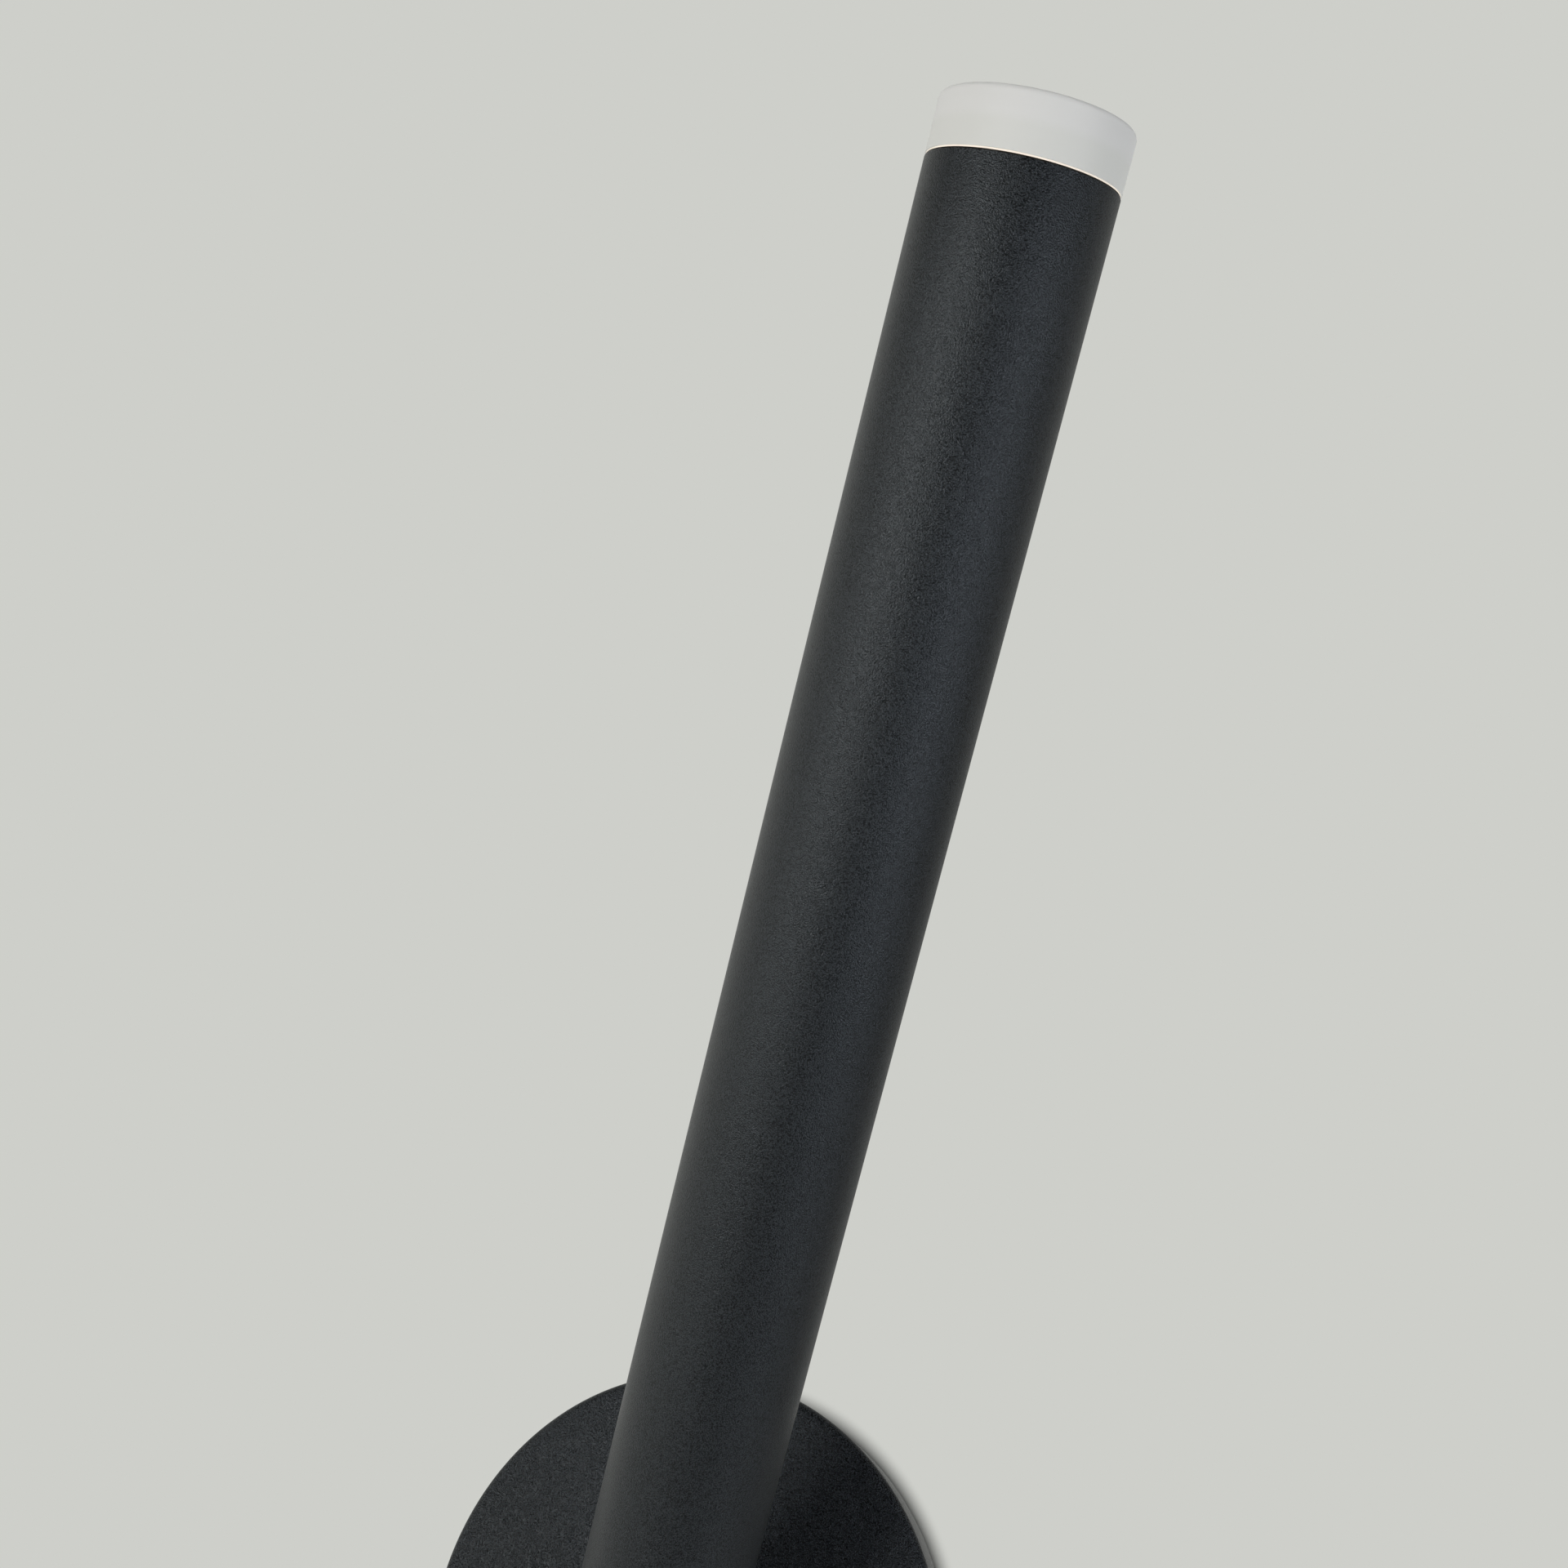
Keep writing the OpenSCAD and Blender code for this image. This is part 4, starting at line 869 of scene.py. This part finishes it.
class WALL_LIGHT_OT_tilt_pin(Operator):
    """Makes the sleeve and bolt of the tilt pin."""

    bl_idname = "wall_light.tilt_pin"
    bl_label = "Tilt pin"

    def execute(self, context):
        s = context.scene.wall_light.tube
        face, head = s.pin_face, 4 * MM
        bolt, half = 2 * MM, 4 * MM
        hex_radius, deep = 0.45 * s.pin_head, head / 2
        sleeve = turned([
            (0, -face, 0),
            (s.pin_head, -face, 0.4 * MM),
            (s.pin_head, head - face, 0.1 * MM),
            (s.pin, head - face, 0),
            (s.pin, face - head - 0.3 * MM, 0.2 * MM),
            (bolt + 0.05 * MM, face - head - 0.3 * MM, 0),
            (bolt + 0.05 * MM, -half - OVER, 0),
            (0, -half - OVER, 0),
        ], 96)
        socket = rod(hex_radius, deep + OVER, Matrix.Translation((0, 0, -face - OVER)), DRIVE_SIDES)
        sleeve = worked(sleeve, [socket])
        stand_for("tilt_sleeve", sleeve, ON_TUBE @ ALONG_X, soft=0.06 * MM)
        seat = face - head + 0.5 * MM
        screw = turned([
            (0, -half, 0),
            (bolt, -half, 0.3 * MM),
            (bolt, seat, 0),
            (s.pin_head, seat, 0.1 * MM),
            (s.pin_head, face, 0.4 * MM),
            (0, face, 0),
        ], 96)
        screw = worked(screw, [rod(hex_radius, deep + OVER, Matrix.Translation((0, 0, face - deep)), DRIVE_SIDES)])
        stand_for("tilt_bolt", screw, ON_TUBE @ ALONG_X, soft=0.06 * MM)
        return {"FINISHED"}


class WALL_LIGHT_OT_hinge_discs(Operator):
    """Makes the steel washer and the fibre discs of the tilt hinge."""

    bl_idname = "wall_light.hinge_discs"
    bl_label = "Hinge discs"

    def execute(self, context):
        pin = context.scene.wall_light.tube.pin
        along = ON_TUBE @ ALONG_X
        low, high = measured("tilt_washer", along)
        stand_for("tilt_washer", washer(0.7 * pin, high.x, low.z, high.z), along, soft=0)
        low, high = measured("friction_discs", along)
        near = context.scene.wall_light.post.tongue_wide / 2 + 0.05 * MM
        discs = [washer(pin + 0.1 * MM, high.x, *sorted((side * near, side * high.z))) for side in (1, -1)]
        stand_for("friction_discs", together(discs), along, soft=0)
        return {"FINISHED"}


class WALL_LIGHT_OT_leads(Operator):
    """Rounds the insulated leads."""

    bl_idname = "wall_light.leads"
    bl_label = "Leads"

    def execute(self, context):
        for node in ("earth_lead", "input_leads", "output_lead", "tube_lead"):
            lead = bmesh.new()
            lead.from_mesh(frame["nodes"][node].data)
            bmesh.ops.remove_doubles(lead, verts=lead.verts, dist=NEAR)
            bmesh.ops.join_triangles(
                lead,
                faces=lead.faces,
                angle_face_threshold=math.radians(30),
                angle_shape_threshold=math.radians(60),
            )
            piece = stand_for(node, lead, Matrix.Identity(4), soft=0)
            smooth = piece.modifiers.new("round", "SUBSURF")
            smooth.levels = smooth.render_levels = 1
        return {"FINISHED"}


class WALL_LIGHT_OT_rear_screws(Operator):
    """Makes the flush screws in the tube's rear."""

    bl_idname = "wall_light.rear_screws"
    bl_label = "Rear screws"

    def execute(self, context):
        s = context.scene.wall_light.tube
        pair = together([rear_screw(s, height, 6 * MM) for height in BLOCK_SCREWS])
        stand_for("block_screws", pair, ON_TUBE, soft=0)
        stand_for("sink_screw", rear_screw(s, SINK_SCREW, 5 * MM), ON_TUBE, soft=0)
        return {"FINISHED"}


class WALL_LIGHT_OT_light_end(Operator):
    """Turns the frosted diffuser, its gasket and the reflector behind it."""

    bl_idname = "wall_light.light_end"
    bl_label = "Light end"

    def execute(self, context):
        s = context.scene.wall_light.tube
        base, top = GASKET_HIGH.z, CAP_HIGH.z
        spigot = s.radius - s.wall - 0.05 * MM
        mouth, cavity = spigot - 1.6 * MM, s.radius - s.cap_wall
        cap = turned([
            (0, top - s.cap_lid, 0),
            (cavity, top - s.cap_lid, 0.6 * MM),
            (cavity, base, 0),
            (mouth, base, 0),
            (mouth, CAP_LOW.z, 0.2 * MM),
            (spigot, CAP_LOW.z, 0.2 * MM),
            (spigot, base, 0),
            (s.radius, base, 0.08 * MM),
            (s.radius, top, s.cap_edge),
            (0, top, 0),
        ], 160)
        stand_for("diffuser", cap, ON_TUBE, soft=0)
        gasket = turned([
            (spigot + 0.1 * MM, GASKET_LOW.z, 0),
            (GASKET_HIGH.x, GASKET_LOW.z, 0.1 * MM),
            (GASKET_HIGH.x, base, 0.1 * MM),
            (spigot + 0.1 * MM, base, 0),
        ], 160)
        stand_for("diffuser_gasket", gasket, ON_TUBE, soft=0)
        throat = 0.72 * mouth
        cone = turned([
            (REFLECTOR_HIGH.x, REFLECTOR_LOW.z, 0.3 * MM),
            (REFLECTOR_HIGH.x, REFLECTOR_HIGH.z, 0.2 * MM),
            (mouth, REFLECTOR_HIGH.z, 0.2 * MM),
            (throat, REFLECTOR_LOW.z + 0.5 * MM, 0.2 * MM),
            (throat, REFLECTOR_LOW.z, 0),
        ], 96)
        stand_for("reflector", cone, ON_TUBE, soft=0)
        return {"FINISHED"}


class WALL_LIGHT_OT_inner_parts(Operator):
    """Gives every CAD node that still shows the finish of its slot."""

    bl_idname = "wall_light.inner_parts"
    bl_label = "Inner parts"

    def execute(self, context):
        for node, part in frame["nodes"].items():
            if not part.hide_render:
                part.data.materials.clear()
                part.data.materials.append(finish(SLOTS[node]))
        return {"FINISHED"}


# Stage


def softbox(name, aim, away, along, distance, wide, high, watts, tone=(1.0, 1.0, 1.0)):
    """An area lamp away from a point and facing it, its height along a direction, unseen by the camera."""
    lamp = bpy.data.lights.new(name, "AREA")
    lamp.shape, lamp.size, lamp.size_y, lamp.energy, lamp.color = "RECTANGLE", wide, high, watts, tone
    stand = bpy.data.objects.new(name, lamp)
    bpy.context.scene.collection.objects.link(stand)
    back = Vector(away).normalized()
    side = Vector(along).cross(back).normalized()
    stand.rotation_euler = Matrix((side, back.cross(side), back)).transposed().to_euler()
    stand.location = Vector(aim) + distance * back
    stand.visible_camera = False
    return stand


def sheet_of(name, corner, across, up, material):
    """A flat stage sheet."""
    solid = bmesh.new()
    corner, across, up = Vector(corner), Vector(across), Vector(up)
    corners = (corner, corner + across, corner + across + up, corner + up)
    solid.faces.new([solid.verts.new(place) for place in corners])
    made = loose(name, solid)
    made.data.materials.append(material)
    return made


def seen_directly(tree):
    """1 for rays from the camera and for those that gloss or glass sends on."""
    path = add(tree, "LightPath").outputs
    passed_on = math_node(tree, "MAXIMUM", path["Is Glossy Ray"], path["Is Transmission Ray"])
    return math_node(tree, "MAXIMUM", path["Is Camera Ray"], passed_on), path


def wall_material(tone):
    """A pale wall: flat to the eye, with a painted shadow only where it meets the light, from an ambient occlusion
    whose fixed tilted normal keeps it to one side, with its reflections painted darker by position, and open from
    behind.
    """
    made = bpy.data.materials.new("pale_wall")
    made.use_nodes = True
    tree = made.node_tree
    out = tree.nodes["Material Output"]
    tree.nodes.remove(tree.nodes["Principled BSDF"])
    direct, path = seen_directly(tree)
    # Painted shadow: an ambient occlusion with a fixed tilted normal darkens the wall on one side of the canopy
    # only.
    shade = {"Distance": 4 * MM, "Normal": Vector((-0.88, -0.45, -0.15)).normalized()}
    painted_wall_shade = add(tree, "AmbientOcclusion", shade, samples=16, only_local=False).outputs["AO"]
    painted_wall_shade = add(tree, "MapRange", {"Value": painted_wall_shade, "From Min": 0.45, "From Max": 0.97}).outputs[0]
    painted_wall_shade = math_node(tree, "MAXIMUM", painted_wall_shade, path["Is Glossy Ray"])
    # Painted shade in reflections: the wall as gloss sees it is darkened by position, most to the right and low
    # down.
    place = add(tree, "SeparateXYZ", {"Vector": add(tree, "NewGeometry").outputs["Position"]}).outputs
    low = {"Value": place["Z"], "From Min": 0.3, "From Max": 0.0, "To Min": 0.42, "To Max": 0.7}
    low = add(tree, "MapRange", low).outputs[0]
    painted_reflection_loss = {"Value": place["X"], "From Min": -0.15, "From Max": 0.15, "To Min": 0.1, "To Max": low}
    painted_reflection_loss = add(tree, "MapRange", painted_reflection_loss)
    painted_reflection_level = math_node(tree, "SUBTRACT", 1.0, math_node(tree, "MULTIPLY", path["Is Glossy Ray"], painted_reflection_loss.outputs[0]))
    painted_wall_shade = math_node(tree, "MULTIPLY", painted_wall_shade, painted_reflection_level)
    plain = add(tree, "BsdfDiffuse", {"Color": (*tone, 1)}).outputs[0]
    flat = add(tree, "Emission", {"Color": (*tone, 1), "Strength": painted_wall_shade}).outputs[0]
    pale = add(tree, "MixShader", {0: direct, 1: plain, 2: flat}).outputs[0]
    behind = add(tree, "NewGeometry").outputs["Backfacing"]
    unseen = math_node(tree, "MAXIMUM", behind, path["Is Shadow Ray"])
    clear = add(tree, "BsdfTransparent").outputs[0]
    tree.links.new(add(tree, "MixShader", {0: unseen, 1: pale, 2: clear}).outputs[0], out.inputs["Surface"])
    return made


def floor_material(tone):
    """A pale floor that keeps the light's shadow."""
    made = bpy.data.materials.new("pale_floor")
    made.use_nodes = True
    tree = made.node_tree
    out = tree.nodes["Material Output"]
    tree.nodes.remove(tree.nodes["Principled BSDF"])
    lift = math_node(tree, "MULTIPLY", add(tree, "LightPath").outputs["Is Camera Ray"], 0.85)
    plain = add(tree, "BsdfDiffuse", {"Color": (*tone, 1)}).outputs[0]
    flat = add(tree, "Emission", {"Color": (*tone, 1), "Strength": 1.0}).outputs[0]
    tree.links.new(add(tree, "MixShader", {0: lift, 1: plain, 2: flat}).outputs[0], out.inputs["Surface"])
    return made


UP_TUBE = ON_TUBE.to_3x3() @ Vector((0, 0, 1))
TO_LENS = Vector((0.010, -0.795, -0.607)).normalized()

# Strip lamps beside the tube: turn from the lens about the tube, middle along it, length, width, power
STRIPS = (
    ("left_rim", -95, 0.15, 0.8, 0.14, 0.29),
    ("left_wide", -72, 0.25, 0.7, 0.14, 0.17),
    ("left_high", -47, 0.30, 0.6, 0.12, 1.22),
    ("left_low", -42, -0.30, 0.6, 0.12, 0.13),
    ("left_near", -35, 0.22, 0.5, 0.12, 1.0),
    ("right_near", 42, -0.05, 1.1, 0.14, 0.29),
    ("right_high", 54, 0.25, 0.5, 0.14, 1.3),
)


class WALL_LIGHT_OT_stage(Operator):
    """Sets up the wall, the floor, the lamps, the world and the camera."""

    bl_idname = "wall_light.stage"
    bl_label = "Stage"

    def execute(self, context):
        tone = tuple(context.scene.wall_light.finish.backdrop)
        reach, floor = 4.0, -1.0
        across = (2 * reach, 0, 0)
        sheet_of("wall_sheet", (-reach, 0.4 * MM, floor), across, (0, 0, 2 * reach), wall_material(tone))
        sheet_of("floor_sheet", (-reach, -reach, floor), across, (0, 2 * reach, 0), floor_material(tone))

        for name, turn, along, high, wide, watts in STRIPS:
            spot = ON_TUBE @ Vector((0, 0, along))
            away = Matrix.Rotation(math.radians(turn), 3, UP_TUBE) @ TO_LENS
            tone_of = (1.0, 0.99, 0.96) if turn < 0 else (0.95, 0.98, 1.05)
            softbox(name, spot, away, UP_TUBE, 0.6, wide, high, watts, tone_of)
        softbox("behind", (0, 0, 0.1), (0.0, 1.0, -0.2), (0, 0, 1), 1.8, 1.2, 1.2, 16)

        world = bpy.data.worlds.new("soft_room")
        context.scene.world = world
        world.use_nodes = True
        tree = world.node_tree
        camera_ray = add(tree, "LightPath").outputs["Is Camera Ray"]
        room = tree.nodes["Background"]
        room.inputs["Color"].default_value = (0.9, 0.93, 0.95, 1)
        room.inputs["Strength"].default_value = 0.012
        pale = add(tree, "Background", {"Color": (*tone, 1), "Strength": 1.0}).outputs[0]
        both = add(tree, "MixShader", {0: camera_ray, 1: room.outputs[0], 2: pale}).outputs[0]
        tree.links.new(both, tree.nodes["World Output"].inputs["Surface"])

        lens = bpy.data.cameras.new("photo_camera")
        lens.sensor_width, lens.lens = 36.0, 35.644
        lens.clip_start, lens.clip_end = 0.01, 100
        camera = bpy.data.objects.new("photo_camera", lens)
        context.scene.collection.objects.link(camera)
        camera.location = (0.06845, -0.37677, 0.00947)
        camera.rotation_euler = Vector((-0.11997, 0.87783, 0.46370)).to_track_quat("-Z", "Y").to_euler()
        context.scene.camera = camera
        context.scene.view_settings.view_transform = "Standard"
        return {"FINISHED"}


STEPS = (
    WALL_LIGHT_OT_stage,
    WALL_LIGHT_OT_canopy,
    WALL_LIGHT_OT_canopy_screws,
    WALL_LIGHT_OT_wall_plate,
    WALL_LIGHT_OT_swivel_post,
    WALL_LIGHT_OT_tube,
    WALL_LIGHT_OT_joint_block,
    WALL_LIGHT_OT_tilt_pin,
    WALL_LIGHT_OT_hinge_discs,
    WALL_LIGHT_OT_leads,
    WALL_LIGHT_OT_rear_screws,
    WALL_LIGHT_OT_light_end,
    WALL_LIGHT_OT_inner_parts,
)


class WALL_LIGHT_PT_panel(Panel):
    """Lists the sizes, the finishes and the pieces of the wall light."""

    bl_label = "Wall light"
    bl_idname = "WALL_LIGHT_PT_panel"
    bl_space_type = "VIEW_3D"
    bl_region_type = "UI"
    bl_category = "Wall light"

    def draw(self, context):
        settings = context.scene.wall_light
        for group in (settings.canopy, settings.plate, settings.post, settings.tube, settings.finish):
            box = self.layout.box()
            for name in group.__annotations__:
                box.prop(group, name)
        for step in STEPS:
            self.layout.operator(step.bl_idname)


CLASSES = (
    WALL_LIGHT_PG_canopy,
    WALL_LIGHT_PG_plate,
    WALL_LIGHT_PG_post,
    WALL_LIGHT_PG_tube,
    WALL_LIGHT_PG_finish,
    WALL_LIGHT_PG_settings,
    *STEPS,
    WALL_LIGHT_PT_panel,
)


def register():
    for cls in CLASSES:
        bpy.utils.register_class(cls)
    bpy.types.Scene.wall_light = PointerProperty(type=WALL_LIGHT_PG_settings)


def unregister():
    del bpy.types.Scene.wall_light
    for cls in reversed(CLASSES):
        bpy.utils.unregister_class(cls)


def main():
    register()
    for step in STEPS:
        group, name = step.bl_idname.split(".")
        getattr(getattr(bpy.ops, group), name)()


if __name__ == "__main__":
    main()
